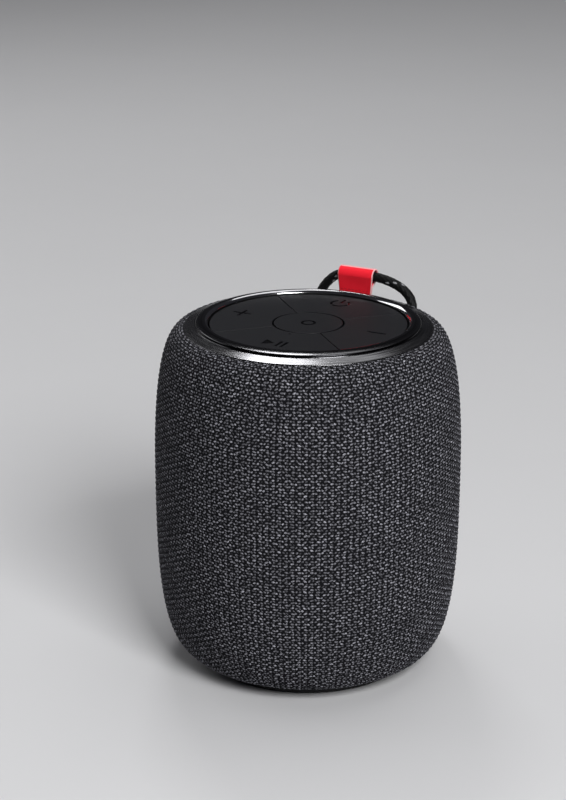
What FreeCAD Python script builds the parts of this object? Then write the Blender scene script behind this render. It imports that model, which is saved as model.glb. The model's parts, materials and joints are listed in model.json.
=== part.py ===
import FreeCAD, Part
import math
import os

# Portable barrel loudspeaker. Millimetres, +Z up, origin at the centre of the foot on the floor.
# Front is -Y, the lanyard and the charging port are at the rear, +Y.

Vector = FreeCAD.Vector
UP = Vector(0, 0, 1)
DOWN = Vector(0, 0, -1)

# ---------------------------------------------------------------- driving dimensions
TOTAL_HEIGHT = 106.6
BODY_RADIUS = 46.0
WIDEST_HEIGHT = 57.8
SLEEVE_TOP_RADIUS = 36.8
SLEEVE_TOP_HEIGHT = 104.2
SLEEVE_FOOT_RADIUS = 33.6
SLEEVE_FOOT_HEIGHT = 3.6
UPPER_FULLNESS = 2.5
LOWER_FULLNESS = 3.0
PROFILE_STEPS = 12

SLEEVE_THICKNESS = 0.8
CAGE_THICKNESS = 2.2
SHELL_GAP = 0.1
FIT_GAP = 0.1
CUT_PAST = 1.0

# windows in the grille cage
WINDOW_WIDTH = 10.2
WINDOW_TALL = 9.6
WINDOW_FIRST_ROW = 16.0
WINDOW_ROW_PITCH = 14.0
WINDOW_ROWS = 6
WINDOW_COLUMNS = 16
PORT_SOLID_ANGLE = 30

# screws: head radius, head height, shank radius, shank length
RING_SCREW = (1.5, 1.2, 0.78, 6.0)
DECK_SCREW = (1.1, 0.9, 0.6, 3.6)
CONTROL_BOARD_SCREW = (1.5, 1.0, 0.7, 4.4)
MAIN_BOARD_SCREW = (1.5, 1.0, 0.7, 4.0)
CHAMBER_SCREW = (1.3, 1.0, 0.7, 3.7)
BASE_SCREW = (2.3, 1.6, 1.2, 14.0)
PILOT_RADIUS = 0.75
CLEARANCE_RADIUS = 0.8
RING_SCREW_CIRCLE = 32.2
DECK_SCREW_CIRCLE = 28.45
BOARD_POST_CIRCLE = 23.6
BOARD_POST_RADIUS = 1.7
RADIATOR_SCREW_CIRCLE = 28.4
DRIVER_SCREW_CIRCLE = 25.8

# top ring and control panel
RING_BORE_RADIUS = 29.7
RING_SKIRT_RADIUS = 33.4
RING_BOTTOM = 98.95
LIP_ROUND = 0.8
RING_EDGE = [(36.8, 104.25), (36.95, 104.39), (36.78, 104.5)]
RING_BEVEL_END = [(34.1, 105.42), (33.85, 105.46), (33.65, 105.36)]
RING_GROOVE = (33.4, 105.3)
RING_CROWN_START = [(33.25, 105.85), (33.13, 106.05), (32.9, 106.16)]
RING_CROWN_MIDDLE = (31.75, 106.47)
LEDGE_RADIUS = 27.5
LEDGE_TOP = 101.2
PANEL_TOP = 105.4
KEY_THICKNESS = 1.2
SLIT_GAP = 0.25
CENTRE_GAP = 0.5
KEY_OUTER_RADIUS = 29.2
CENTRE_KEY_RADIUS = 10.2
KEY_TRAVEL = 0.5
KEY_EDGE_ROUND = 0.18
PLUNGER_RADIUS = 2.3
PLUNGER_PLACE = 20.0
PLUNGER_BOTTOM = 101.7
STEM_RADIUS = 1.7
STEM_BOTTOM = 99.3
DECK_RADIUS = 29.4
DECK_BOTTOM = 101.25
DECK_TOP = 103.2
BOARD_THICKNESS = 1.6
CONTROL_BOARD_RADIUS = 26.4
CONTROL_BOARD_TOP = 98.5
STATUS_HOLE_PLACE = 12.3
STATUS_HOLE_RADIUS = 0.35
STATUS_LIGHT_RADIUS = 0.9
SWITCH_HALF_WIDTH = 3.0
SWITCH_HEIGHT = 2.1
DOME_BORE = 2.9
DOME_FOOT_RADIUS = 4.6
DOME_TOP_RADIUS = 3.7
DOME_FOOT_HEIGHT = 0.25
MICROPHONE_PLACE = (-9.0, -18.0)
MICROPHONE_RADIUS = 2.0
KEY_ANGLES = {"minus": 0, "power": 90, "plus": 180, "play": 270}

# symbols sunk into the keys
SYMBOL_DEPTH = 0.2
SYMBOL_STROKE = 0.85
SYMBOL_PLACE = 22.0
SYMBOL_HALF_LENGTH = 3.0
POWER_RADIUS = 3.2
POWER_OPENING = 35
PLAY_HALF_WIDTH = 3.5
PLAY_HALF_TALL = 2.3
CENTRE_RING_RADIUS = 2.3

# passive radiator and sealed chamber
RADIATOR_PLATE_RADIUS = 19.6
RADIATOR_PLATE_THICKNESS = 1.6
RADIATOR_ROLL_INNER = 20.0
RADIATOR_ROLL_OUTER = 24.2
RADIATOR_FRAME_RADIUS = 30.0
RADIATOR_FRAME_THICKNESS = 2.0
CHAMBER_RADIUS = 38.0
CHAMBER_WALL = 2.1
CHAMBER_FLOOR_BOTTOM = 30.8
CHAMBER_FLOOR_TOP = 33.0
CHAMBER_SPLIT = 60.6
CHAMBER_SEAL_THICKNESS = 0.5
CHAMBER_TOP = 86.0
CHAMBER_LID_THICKNESS = 2.0
CHAMBER_OPENING_RADIUS = 24.3
CHAMBER_STEP_WIDTH = 2.9
CHAMBER_STEP_THICKNESS = 1.4
LID_POST_CIRCLE = 34.5
LID_POST_RADIUS = 2.4
SHELF_BOTTOM = 97.0
SHELF_TOP = 98.9

# base
FOOT_RADIUS = 32.3
FOOT_INNER_RADIUS = 26.5
FOOT_THICKNESS = 1.6
BASE_RADIUS = 32.9
BASE_RIM_TOP = 7.6
BASE_PLATE_TOP = 3.8
PILLAR_PLACE = 30.0
PILLAR_RADIUS = 2.5
BASE_SCREW_WELL = 1.8
DIFFUSER_RADIUS = 22.0
DIFFUSER_RIM = 1.2
DIFFUSER_TIP_RADIUS = 1.2
DIFFUSER_TIP_HEIGHT = 23.4
DIFFUSER_TOP = 24.1

# loudspeaker driver, firing down
FLANGE_BOTTOM = 28.0
FLANGE_TOP = 30.0
FLANGE_RADIUS = 27.2
MOTOR_BOTTOM = 41.0
TOP_PLATE_TOP = 44.0
MAGNET_TOP = 51.0
YOKE_TOP = 54.0
BASKET_INNER_RADIUS = 22.6
BASKET_BACK_RADIUS = 9.6
BASKET_THICKNESS = 1.6
CONE_NECK = 35.2
COIL_INNER_RADIUS = 8.1
COIL_OUTER_RADIUS = 8.7
COIL_TOP = 46.4
CAP_RADIUS = 9.4
CAP_RIM = 34.0
CAP_APEX = 30.4
SPIDER_RADIUS = 18.6
SPIDER_WAVE = 0.35
SPIDER_THICKNESS = 0.3
SPIDER_WAVES = 4
SPIDER_STEPS = 24
MAGNET_RADIUS = 20.0
MAGNET_BORE = 11.5
PLATE_RADIUS = 19.0
PLATE_BORE = 9.0
POLE_RADIUS = 7.6

# battery and main board
BATTERY_RADIUS = 9.2
BATTERY_LENGTH = 65.0
BATTERY_HEIGHT = 72.0
HOLDER_BOTTOM = 60.65
HOLDER_TOP = 62.2
SADDLE_PLACE = 21.0
SADDLE_HALF_WIDTH = 3.0
SADDLE_HALF_DEPTH = 11.5
MAIN_BOARD_SIZE = (46.0, 34.0)
MAIN_BOARD_TOP = 59.2
MAIN_BOARD_POSTS = (20.0, 14.0)
HARNESS_ANGLE = -67.5
HARNESS_RADIUS = 0.9
LEAD_RADIUS = 0.6
HARNESS_CIRCLE = 33.0

# rear port
PORT_HEIGHT = 19.0
PORT_WIDTH = 28.0
PORT_TALL = 12.0
POCKET_WIDTH = 24.2
POCKET_TALL = 8.2
POCKET_FLOOR = 35.5
HOUSING_BACK = 33.4
FLAP_GAP = 0.3
FLAP_THICKNESS = 2.0
PORT_PROUD = 0.3
HINGE_PLACE = (-11.95, 43.1)
KNUCKLE_RADIUS = 0.6
KNUCKLE_HALF_LENGTH = 1.1
USB_PLACE = -5.5
USB_SIZE = (8.94, 3.26)
USB_DEPTH = 7.3
USB_WALL = 0.3
AUX_PLACE = 6.5
AUX_BORE_RADIUS = 1.8
AUX_BORE_LENGTH = 14.0
AUX_NOSE_RADIUS = 2.45
AUX_BODY_HALF_WIDTH = 3.0
AUX_BODY_TALL = 5.0
PORT_BOARD_TOP = 16.5
PORT_BOARD_HALF_WIDTH = 12.0
PORT_BOARD_THICKNESS = 1.2
PORT_FLANGE_HALF_WIDTH = 15.6
PORT_FLANGE_HALF_TALL = 6.9
PORT_FLANGE_THICKNESS = 2.0

# lanyard
CORD_RADIUS = 1.5
CORD_ROUTE = [
    (17.4, 36.9, 98.6),
    (17.1, 38.6, 102.1),
    (15.0, 39.8, 105.5),
    (10.9, 40.0, 108.1),
    (5.0, 40.0, 109.6),
    (-2.4, 39.8, 109.9),
    (-8.9, 39.8, 109.4),
    (-12.8, 39.7, 106.2),
    (-14.9, 39.0, 102.6),
    (-15.9, 37.6, 98.8),
]
ANCHOR_RADIUS = 2.3
ANCHOR_FLANGE_RADIUS = 2.9
ANCHOR_DEPTH = 2.6
ANCHOR_REACH = 5.0
ANCHOR_FIT = 0.05
ANCHOR_FLARE_START = 1.6
ANCHOR_FLARE_RADIUS = 2.4
TAG_LEFT = -8.2
TAG_RIGHT = 3.6
TAG_PLACE = 39.85
TAG_TURN_HEIGHT = 109.7
TAG_HALF_DEPTH = 2.5
TAG_THICKNESS = 0.6
TAG_SHOULDER = 107.6
TAG_JOIN = 105.8
TAG_BOTTOM = 104.0
TAG_HEM_FACE = -1.2


# ---------------------------------------------------------------- shape helpers
def cylinder(radius, bottom, top, x=0.0, y=0.0):
    return Part.makeCylinder(radius, top - bottom, Vector(x, y, bottom), UP)


def annulus(inner, outer, bottom, top):
    return cylinder(outer, bottom, top).cut(cylinder(inner, bottom, top))


def block(x_range, y_range, z_range):
    size = [high - low for low, high in (x_range, y_range, z_range)]
    return Part.makeBox(*size, Vector(x_range[0], y_range[0], z_range[0]))


def polar(radius, degrees, height=0.0):
    angle = math.radians(degrees)
    return Vector(radius * math.cos(angle), radius * math.sin(angle), height)


def turned(section):
    """Solid of revolution about Z of a closed section, a list of (radius, height) corners."""
    corners = [Vector(radius, 0, height) for radius, height in section]
    wire = Part.makePolygon(corners + corners[:1])
    return Part.Face(wire).revolve(Vector(), UP, 360)


def turned_edges(edges):
    return Part.Face(Part.Wire(edges)).revolve(Vector(), UP, 360)


def line(start, end):
    return Part.LineSegment(Vector(start[0], 0, start[1]), Vector(end[0], 0, end[1])).toShape()


def arc(start, middle, end):
    points = [Vector(radius, 0, height) for radius, height in (start, middle, end)]
    return Part.Arc(*points).toShape()


def cap_arc(apex, rim_radius, rim_height):
    """Arc of a spherical cap centred on the axis, from its apex out to its rim."""
    sag = rim_height - apex
    radius = (rim_radius ** 2 + sag ** 2) / (2 * sag)
    half = math.asin(rim_radius / abs(radius)) / 2
    middle = (abs(radius) * math.sin(half), apex + radius * (1 - math.cos(half)))
    return arc((0, apex), middle, (rim_radius, rim_height))


def around(shape, angles):
    return [shape.rotated(Vector(), UP, angle) for angle in angles]


def pins(places, radius, bottom, top):
    """Upright cylinders at the places."""
    return [cylinder(radius, bottom, top, place.x, place.y) for place in places]


def rounded_bar(width, tall, x, z, y_start, y_end):
    """Bar with a racetrack section, lying along Y."""
    radius = tall / 2
    reach = width / 2 - radius
    bar = block((x - reach, x + reach), (y_start, y_end), (z - radius, z + radius))
    ends = [Part.makeCylinder(radius, y_end - y_start, Vector(x + side * reach, y_start, z), Vector(0, 1, 0))
            for side in (-1, 1)]
    return bar.fuse(ends).removeSplitter()


def rounded_plate(width, tall, corner, x, z, y_start, y_end):
    """Bar along Y with a rounded rectangular section."""
    plate = block((x - width / 2, x + width / 2), (y_start, y_end), (z - tall / 2, z + tall / 2))
    long_edges = [edge for edge in plate.Edges
                  if abs(edge.Vertexes[0].Y - edge.Vertexes[1].Y) > (y_end - y_start) / 2]
    return plate.makeFillet(corner, long_edges)


def screw(place, direction, head_radius, head_height, shank_radius, shank_length):
    """Pan head screw: place is the middle of the head's seat, direction points along the shank."""
    head = Part.makeCylinder(head_radius, head_height, place, direction * -1)
    socket = Part.makeCylinder(head_radius * 0.45, head_height * 0.6,
                               place - direction * head_height, direction)
    shank = Part.makeCylinder(shank_radius, shank_length, place, direction)
    return head.cut(socket).fuse(shank).removeSplitter()


def tube_path(points, share=0.45):
    """Wire through straight runs joined by tangent arcs, each as large as its two runs allow."""
    corners = [Vector(*point) for point in points]
    edges = []
    here = corners[0]
    for before, corner, after in zip(corners, corners[1:], corners[2:]):
        inward = (corner - before)
        outward = (after - corner)
        reach = share * min(inward.Length, outward.Length)
        inward.normalize()
        outward.normalize()
        start = corner - inward * reach
        end = corner + outward * reach
        half_turn = inward.getAngle(outward) / 2
        radius = reach / math.tan(half_turn)
        to_centre = outward - inward
        to_centre.normalize()
        centre = corner + to_centre * (radius / math.cos(half_turn))
        middle = centre - to_centre * radius
        edges.append(Part.LineSegment(here, start).toShape())
        edges.append(Part.Arc(start, middle, end).toShape())
        here = end
    edges.append(Part.LineSegment(here, corners[-1]).toShape())
    return Part.Wire(edges)


def tube(points, radius):
    path = tube_path(points)
    start = Vector(*points[0])
    heading = Vector(*points[1]) - start
    section = Part.Wire(Part.makeCircle(radius, start, heading))
    solid = path.makePipeShell([section], True, False)
    expected = math.pi * radius ** 2 * path.Length
    radii = [edge.Curve.Radius for edge in path.Edges if hasattr(edge.Curve, "Radius")]
    print("tube length", round(path.Length, 1), "volume ratio", round(solid.Volume / expected, 4),
          "smallest bend", round(min(radii), 1))
    return solid


def screw_set(places, seat, direction, size):
    return Part.makeCompound([screw(Vector(place.x, place.y, seat), direction, *size) for place in places])


def save(name, shape):
    solids = shape.Solids
    result = solids[0] if len(solids) == 1 else Part.makeCompound(solids)
    if not result.isValid():
        print("NOT VALID", name)
    result.exportStep("parts/" + name + ".step")


# ---------------------------------------------------------------- barrel outline
def half_outline(end_radius, end_height, fullness, inset):
    """Points of one superellipse quarter, moved inward by inset, from its end to the widest height."""
    width = BODY_RADIUS - end_radius
    tall = end_height - WIDEST_HEIGHT
    points = []
    for step in range(PROFILE_STEPS + 1):
        angle = math.pi / 2 * step / PROFILE_STEPS
        across = math.sin(angle) ** (2 / fullness)
        along = max(math.cos(angle), 0.0) ** (2 / fullness)
        normal = Vector(across ** (fullness - 1) / width, 0, along ** (fullness - 1) / tall)
        normal.normalize()
        surface = Vector(end_radius + width * across, 0, WIDEST_HEIGHT + tall * along)
        points.append(surface - normal * inset)
    return points


def outline(inset):
    lower = half_outline(SLEEVE_FOOT_RADIUS, SLEEVE_FOOT_HEIGHT, LOWER_FULLNESS, inset)
    upper = half_outline(SLEEVE_TOP_RADIUS, SLEEVE_TOP_HEIGHT, UPPER_FULLNESS, inset)
    return lower + upper[-2::-1]


def outline_edge(points):
    curve = Part.BSplineCurve()
    curve.interpolate(Points=points)
    return curve.toShape()


def barrel(inset):
    """Solid barrel inside the outline."""
    points = outline(inset)
    low_axis = Vector(0, 0, points[0].z)
    high_axis = Vector(0, 0, points[-1].z)
    edges = [Part.makeLine(low_axis, points[0]), outline_edge(points),
             Part.makeLine(points[-1], high_axis), Part.makeLine(high_axis, low_axis)]
    return turned_edges(edges)


def barrel_shell(outer_inset, inner_inset, low_radius, high_radius):
    """Barrel wall with a flat turned-in band at the foot and at the top."""
    outer = outline(outer_inset)
    inner = outline(inner_inset)
    corners = [inner[0], Vector(low_radius, 0, inner[0].z), Vector(low_radius, 0, outer[0].z), outer[0]]
    top = [outer[-1], Vector(high_radius, 0, outer[-1].z), Vector(high_radius, 0, inner[-1].z), inner[-1]]
    edges = [Part.makeLine(start, end) for chain in (corners, top) for start, end in zip(chain, chain[1:])]
    edges += [outline_edge(outer), outline_edge(inner)]
    return turned_edges(Part.__sortEdges__(edges))


# ---------------------------------------------------------------- shell
def port_opening(extra):
    return rounded_plate(PORT_WIDTH + 2 * extra, PORT_TALL + 2 * extra, PORT_TALL / 2 - 0.5,
                         0, PORT_HEIGHT, HOUSING_BACK, BODY_RADIUS)


def anchor_axes():
    """Mouth and outward direction of the two lanyard anchors."""
    axes = []
    for first, second in ((CORD_ROUTE[0], CORD_ROUTE[1]), (CORD_ROUTE[-1], CORD_ROUTE[-2])):
        direction = Vector(*second) - Vector(*first)
        direction.normalize()
        axes.append((Vector(*first), direction))
    return axes


def anchor_holes(radius, depth):
    return [Part.makeCylinder(radius, depth + ANCHOR_REACH + 1, start - direction * depth, direction)
            for start, direction in anchor_axes()]


def fabric_sleeve():
    wall = barrel_shell(0, SLEEVE_THICKNESS, BASE_RADIUS + 0.2, RING_SKIRT_RADIUS + 0.2)
    flange_holes = anchor_holes(ANCHOR_FLANGE_RADIUS + FIT_GAP, ANCHOR_DEPTH + 0.6)
    return wall.cut([port_opening(FIT_GAP)] + flange_holes)


def grille_cage():
    inner_inset = SLEEVE_THICKNESS + SHELL_GAP + CAGE_THICKNESS
    wall = barrel_shell(SLEEVE_THICKNESS + SHELL_GAP, inner_inset, BASE_RADIUS + 0.3, RING_SKIRT_RADIUS + 0.4)
    shelf = annulus(RING_SKIRT_RADIUS - 2.9, BODY_RADIUS, SHELF_BOTTOM, SHELF_TOP)
    wall = wall.fuse(shelf.common(barrel(inner_inset - 0.5)))
    windows = []
    for row in range(WINDOW_ROWS):
        middle = WINDOW_FIRST_ROW + row * WINDOW_ROW_PITCH
        window = block((CHAMBER_RADIUS - 2, BODY_RADIUS + 2), (-WINDOW_WIDTH / 2, WINDOW_WIDTH / 2),
                       (middle - WINDOW_TALL / 2, middle + WINDOW_TALL / 2))
        for column in range(WINDOW_COLUMNS):
            angle = (column + 0.5) * 360 / WINDOW_COLUMNS
            beside_port = row == 0 and abs(angle - 90) < PORT_SOLID_ANGLE
            if not beside_port:
                windows.append(window.rotated(Vector(), UP, angle))
    screw_holes = pins(ring_screw_places(), 0.9, SHELF_BOTTOM - CUT_PAST, SHELF_TOP + CUT_PAST)
    wall = wall.cut(windows + screw_holes)
    return wall.cut([port_opening(FIT_GAP)] + anchor_holes(ANCHOR_RADIUS + FIT_GAP, ANCHOR_DEPTH + 2))


def ring_screw_places():
    return [polar(RING_SCREW_CIRCLE, angle) for angle in (45, 135, 225, 315)]


def top_trim_ring():
    seat = RING_EDGE[0][1]
    lip_start = RING_BORE_RADIUS + LIP_ROUND
    lip_drop = LIP_ROUND * (1 - math.sqrt(0.5))
    lip_end = (RING_BORE_RADIUS, TOTAL_HEIGHT - LIP_ROUND)
    edges = [
        line((LEDGE_RADIUS, RING_BOTTOM), (RING_SKIRT_RADIUS, RING_BOTTOM)),
        line((RING_SKIRT_RADIUS, RING_BOTTOM), (RING_SKIRT_RADIUS, seat)),
        line((RING_SKIRT_RADIUS, seat), RING_EDGE[0]),
        arc(*RING_EDGE),
        line(RING_EDGE[-1], RING_BEVEL_END[0]),
        arc(*RING_BEVEL_END),
        line(RING_BEVEL_END[-1], RING_GROOVE),
        line(RING_GROOVE, RING_CROWN_START[0]),
        arc(*RING_CROWN_START),
        arc(RING_CROWN_START[-1], RING_CROWN_MIDDLE, (lip_start, TOTAL_HEIGHT)),
        arc((lip_start, TOTAL_HEIGHT), (RING_BORE_RADIUS + lip_drop, TOTAL_HEIGHT - lip_drop), lip_end),
        line(lip_end, (RING_BORE_RADIUS, LEDGE_TOP)),
        line((RING_BORE_RADIUS, LEDGE_TOP), (LEDGE_RADIUS, LEDGE_TOP)),
        line((LEDGE_RADIUS, LEDGE_TOP), (LEDGE_RADIUS, RING_BOTTOM)),
    ]
    ring_holes = pins(ring_screw_places(), CLEARANCE_RADIUS, RING_BOTTOM - CUT_PAST, RING_BOTTOM + 4.2)
    deck_holes = pins(deck_screw_places(), 0.7, RING_BOTTOM - CUT_PAST, LEDGE_TOP + CUT_PAST)
    return turned_edges(edges).cut(ring_holes + deck_holes)


def ring_screws():
    return screw_set(ring_screw_places(), SHELF_BOTTOM, UP, RING_SCREW)


# ---------------------------------------------------------------- control panel
def plunger_places():
    places = {name: polar(PLUNGER_PLACE, angle) for name, angle in KEY_ANGLES.items()}
    places["center"] = Vector()
    return places


def deck_screw_places():
    return [polar(DECK_SCREW_CIRCLE, angle) for angle in range(15, 375, 60)]


def board_post_places():
    return [polar(BOARD_POST_CIRCLE, angle) for angle in (45, 135, 225, 315)]


def control_deck():
    below, above = DECK_BOTTOM - CUT_PAST, DECK_TOP + CUT_PAST
    posts = pins(board_post_places(), BOARD_POST_RADIUS, CONTROL_BOARD_TOP, DECK_BOTTOM + 0.5)
    deck = cylinder(DECK_RADIUS, DECK_BOTTOM, DECK_TOP).fuse(posts)
    holes = pins(plunger_places().values(), PLUNGER_RADIUS + 0.3, below, above)
    holes += pins(board_post_places(), PILOT_RADIUS, CONTROL_BOARD_TOP - CUT_PAST, DECK_BOTTOM + 1)
    holes += pins(deck_screw_places(), 0.65, below, DECK_BOTTOM + 1.5)
    holes.append(cylinder(STATUS_LIGHT_RADIUS + FIT_GAP, below, above, 0, -STATUS_HOLE_PLACE))
    return deck.cut(holes)


def rounded_top(shape):
    """Breaks the edges of the flat top of a key."""
    edges = [edge for edge in shape.Edges if edge.BoundBox.ZMin > PANEL_TOP - 0.01 and edge.Length > 3]
    return shape.makeFillet(KEY_EDGE_ROUND, edges)


def symbol_bar(x_range, y_range):
    return block(x_range, y_range, (PANEL_TOP - SYMBOL_DEPTH, PANEL_TOP + 1))


def symbol_prism(corners):
    points = [Vector(x, y, PANEL_TOP - SYMBOL_DEPTH) for x, y in corners]
    return Part.Face(Part.makePolygon(points + points[:1])).extrude(Vector(0, 0, SYMBOL_DEPTH + 1))


def symbol_ring(radius, y):
    ring = annulus(radius - SYMBOL_STROKE, radius, PANEL_TOP - SYMBOL_DEPTH, PANEL_TOP + 1)
    return ring.translated(Vector(0, y, 0))


def minus_symbol(x):
    half_stroke = SYMBOL_STROKE / 2
    return symbol_bar((x - SYMBOL_HALF_LENGTH, x + SYMBOL_HALF_LENGTH), (-half_stroke, half_stroke))


def plus_symbol(x):
    half_stroke = SYMBOL_STROKE / 2
    upright = symbol_bar((x - half_stroke, x + half_stroke), (-SYMBOL_HALF_LENGTH, SYMBOL_HALF_LENGTH))
    return minus_symbol(x).fuse(upright)


def power_symbol(y):
    """Ring open at the rear, with a bar standing in the opening."""
    half_stroke = SYMBOL_STROKE / 2
    reach = 2 * POWER_RADIUS
    spread = reach * math.tan(math.radians(POWER_OPENING))
    opening = symbol_prism([(0, y), (spread, y + reach), (-spread, y + reach)])
    bar = symbol_bar((-half_stroke, half_stroke), (y + POWER_RADIUS * 0.15, y + POWER_RADIUS * 1.2))
    return symbol_ring(POWER_RADIUS, y).cut(opening).fuse(bar)


def play_symbol(y):
    """Triangle and two bars."""
    left, right = -PLAY_HALF_WIDTH, PLAY_HALF_WIDTH
    triangle = symbol_prism([(left, y - PLAY_HALF_TALL), (0, y), (left, y + PLAY_HALF_TALL)])
    bars = [symbol_bar((place - SYMBOL_STROKE, place), (y - PLAY_HALF_TALL, y + PLAY_HALF_TALL))
            for place in (right - 2 * SYMBOL_STROKE, right)]
    return triangle.fuse(bars)


def symbol(name):
    if name == "center":
        return symbol_ring(CENTRE_RING_RADIUS, 0)
    shapes = {"minus": minus_symbol, "plus": plus_symbol, "power": power_symbol, "play": play_symbol}
    side = 1 if name in ("minus", "power") else -1
    return shapes[name](side * SYMBOL_PLACE)


def quadrant_key(name):
    angle = KEY_ANGLES[name]
    key = annulus(CENTRE_KEY_RADIUS + CENTRE_GAP, KEY_OUTER_RADIUS, PANEL_TOP - KEY_THICKNESS, PANEL_TOP)
    tip = SLIT_GAP / 2 * math.sqrt(2)
    reach = 2 * KEY_OUTER_RADIUS
    corners = [Vector(tip, 0, 90), Vector(tip + reach, -reach, 90), Vector(tip + reach, reach, 90)]
    wedge = Part.Face(Part.makePolygon(corners + corners[:1])).extrude(Vector(0, 0, 20))
    key = rounded_top(key.common(wedge)).rotated(Vector(), UP, angle)
    place = plunger_places()[name]
    key = key.fuse(cylinder(PLUNGER_RADIUS, PLUNGER_BOTTOM, PANEL_TOP - KEY_THICKNESS / 2, place.x, place.y))
    if name == "play":
        key = key.cut(cylinder(STATUS_HOLE_RADIUS, PANEL_TOP - 3, PANEL_TOP + 1, 0, -STATUS_HOLE_PLACE))
    return key.removeSplitter().cut(symbol(name))


def center_key():
    key = rounded_top(cylinder(CENTRE_KEY_RADIUS, PANEL_TOP - KEY_THICKNESS, PANEL_TOP))
    key = key.fuse(cylinder(PLUNGER_RADIUS, PLUNGER_BOTTOM, PANEL_TOP - KEY_THICKNESS / 2)).removeSplitter()
    return key.cut(symbol("center"))


def switch_stem(place):
    return cylinder(STEM_RADIUS, STEM_BOTTOM, PLUNGER_BOTTOM, place.x, place.y)


def return_dome(place):
    key_bottom = PANEL_TOP - KEY_THICKNESS
    foot_top = (DOME_FOOT_RADIUS, DECK_TOP + DOME_FOOT_HEIGHT)
    section = [(DOME_BORE, DECK_TOP), (DOME_FOOT_RADIUS, DECK_TOP), foot_top,
               (DOME_TOP_RADIUS, key_bottom), (DOME_BORE, key_bottom)]
    return turned(section).translated(place)


def tact_switches():
    half = SWITCH_HALF_WIDTH
    top = CONTROL_BOARD_TOP + SWITCH_HEIGHT
    switches = []
    for place in plunger_places().values():
        body = block((place.x - half, place.x + half), (place.y - half, place.y + half),
                     (CONTROL_BOARD_TOP, top))
        well = cylinder(STEM_RADIUS + FIT_GAP, CONTROL_BOARD_TOP + 0.2, top + CUT_PAST, place.x, place.y)
        switches.append(body.cut(well))
    return Part.makeCompound(switches)


def control_board():
    bottom = CONTROL_BOARD_TOP - BOARD_THICKNESS
    board = cylinder(CONTROL_BOARD_RADIUS, bottom, CONTROL_BOARD_TOP)
    holes = pins(board_post_places(), CLEARANCE_RADIUS, bottom - CUT_PAST, CONTROL_BOARD_TOP + CUT_PAST)
    connector = block((6.0, 12.0), (-23.5, -19.5), (bottom - 1.4, bottom + 0.2))
    return board.cut(holes).fuse(connector).removeSplitter()


def status_light():
    return cylinder(STATUS_LIGHT_RADIUS, CONTROL_BOARD_TOP, DECK_TOP - 0.2, 0, -STATUS_HOLE_PLACE)


def microphone():
    top = CONTROL_BOARD_TOP - BOARD_THICKNESS
    bottom = top - 1.5
    capsule = cylinder(MICROPHONE_RADIUS, bottom, top, *MICROPHONE_PLACE)
    return capsule.cut(cylinder(MICROPHONE_RADIUS / 4, bottom - CUT_PAST, bottom + 0.3, *MICROPHONE_PLACE))


def deck_screws():
    return screw_set(deck_screw_places(), RING_BOTTOM, UP, DECK_SCREW)


def board_screws():
    control = screw_set(board_post_places(), CONTROL_BOARD_TOP - BOARD_THICKNESS, UP, CONTROL_BOARD_SCREW)
    main = screw_set(main_board_posts(), MAIN_BOARD_TOP - BOARD_THICKNESS, UP, MAIN_BOARD_SCREW)
    return Part.makeCompound(control.Solids + main.Solids)


# ---------------------------------------------------------------- passive radiator
def roll(inner, outer, height, rise, thickness, inner_flange, outer_flange):
    """Half-roll rubber surround with its two glue flanges; rise is positive upward."""
    middle = (inner + outer) / 2
    low, high = height, height + thickness
    peak = high + rise if rise > 0 else low + rise
    trough = low + rise if rise > 0 else high + rise
    upper = peak if rise > 0 else trough
    lower = trough if rise > 0 else peak
    edges = [
        line((inner_flange, low), (inner, low)),
        arc((inner, low), (middle, lower), (outer, low)),
        line((outer, low), (outer_flange, low)),
        line((outer_flange, low), (outer_flange, high)),
        line((outer_flange, high), (outer, high)),
        arc((outer, high), (middle, upper), (inner, high)),
        line((inner, high), (inner_flange, high)),
        line((inner_flange, high), (inner_flange, low)),
    ]
    return turned_edges(edges)


def radiator_frame():
    top = CHAMBER_TOP + RADIATOR_FRAME_THICKNESS
    frame = annulus(RADIATOR_ROLL_OUTER + 0.2, RADIATOR_FRAME_RADIUS, CHAMBER_TOP, top)
    return frame.cut(pins(radiator_screw_places(), CLEARANCE_RADIUS, CHAMBER_TOP - CUT_PAST, top + CUT_PAST))


def radiator_screw_places():
    return [polar(RADIATOR_SCREW_CIRCLE, angle) for angle in (30, 90, 150, 210, 270, 330)]


def radiator_surround():
    height = CHAMBER_TOP + RADIATOR_FRAME_THICKNESS
    return roll(RADIATOR_ROLL_INNER, RADIATOR_ROLL_OUTER, height, 1.9, 0.6, RADIATOR_PLATE_RADIUS - 2.0,
                RADIATOR_ROLL_OUTER + 2.4)


def radiator_plate():
    top = CHAMBER_TOP + RADIATOR_FRAME_THICKNESS
    bottom = top - RADIATOR_PLATE_THICKNESS
    dish = top - 0.6
    section = [(0, bottom), (RADIATOR_PLATE_RADIUS, bottom), (RADIATOR_PLATE_RADIUS, top),
               (14.0, top), (12.0, dish), (0, dish)]
    return turned(section)


# ---------------------------------------------------------------- sealed chamber
def pillar_places():
    return [polar(PILLAR_PLACE, angle) for angle in (45, 135, 225, 315)]


def driver_screw_places():
    return [polar(DRIVER_SCREW_CIRCLE, angle) for angle in (0, 90, 180, 270)]


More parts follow.
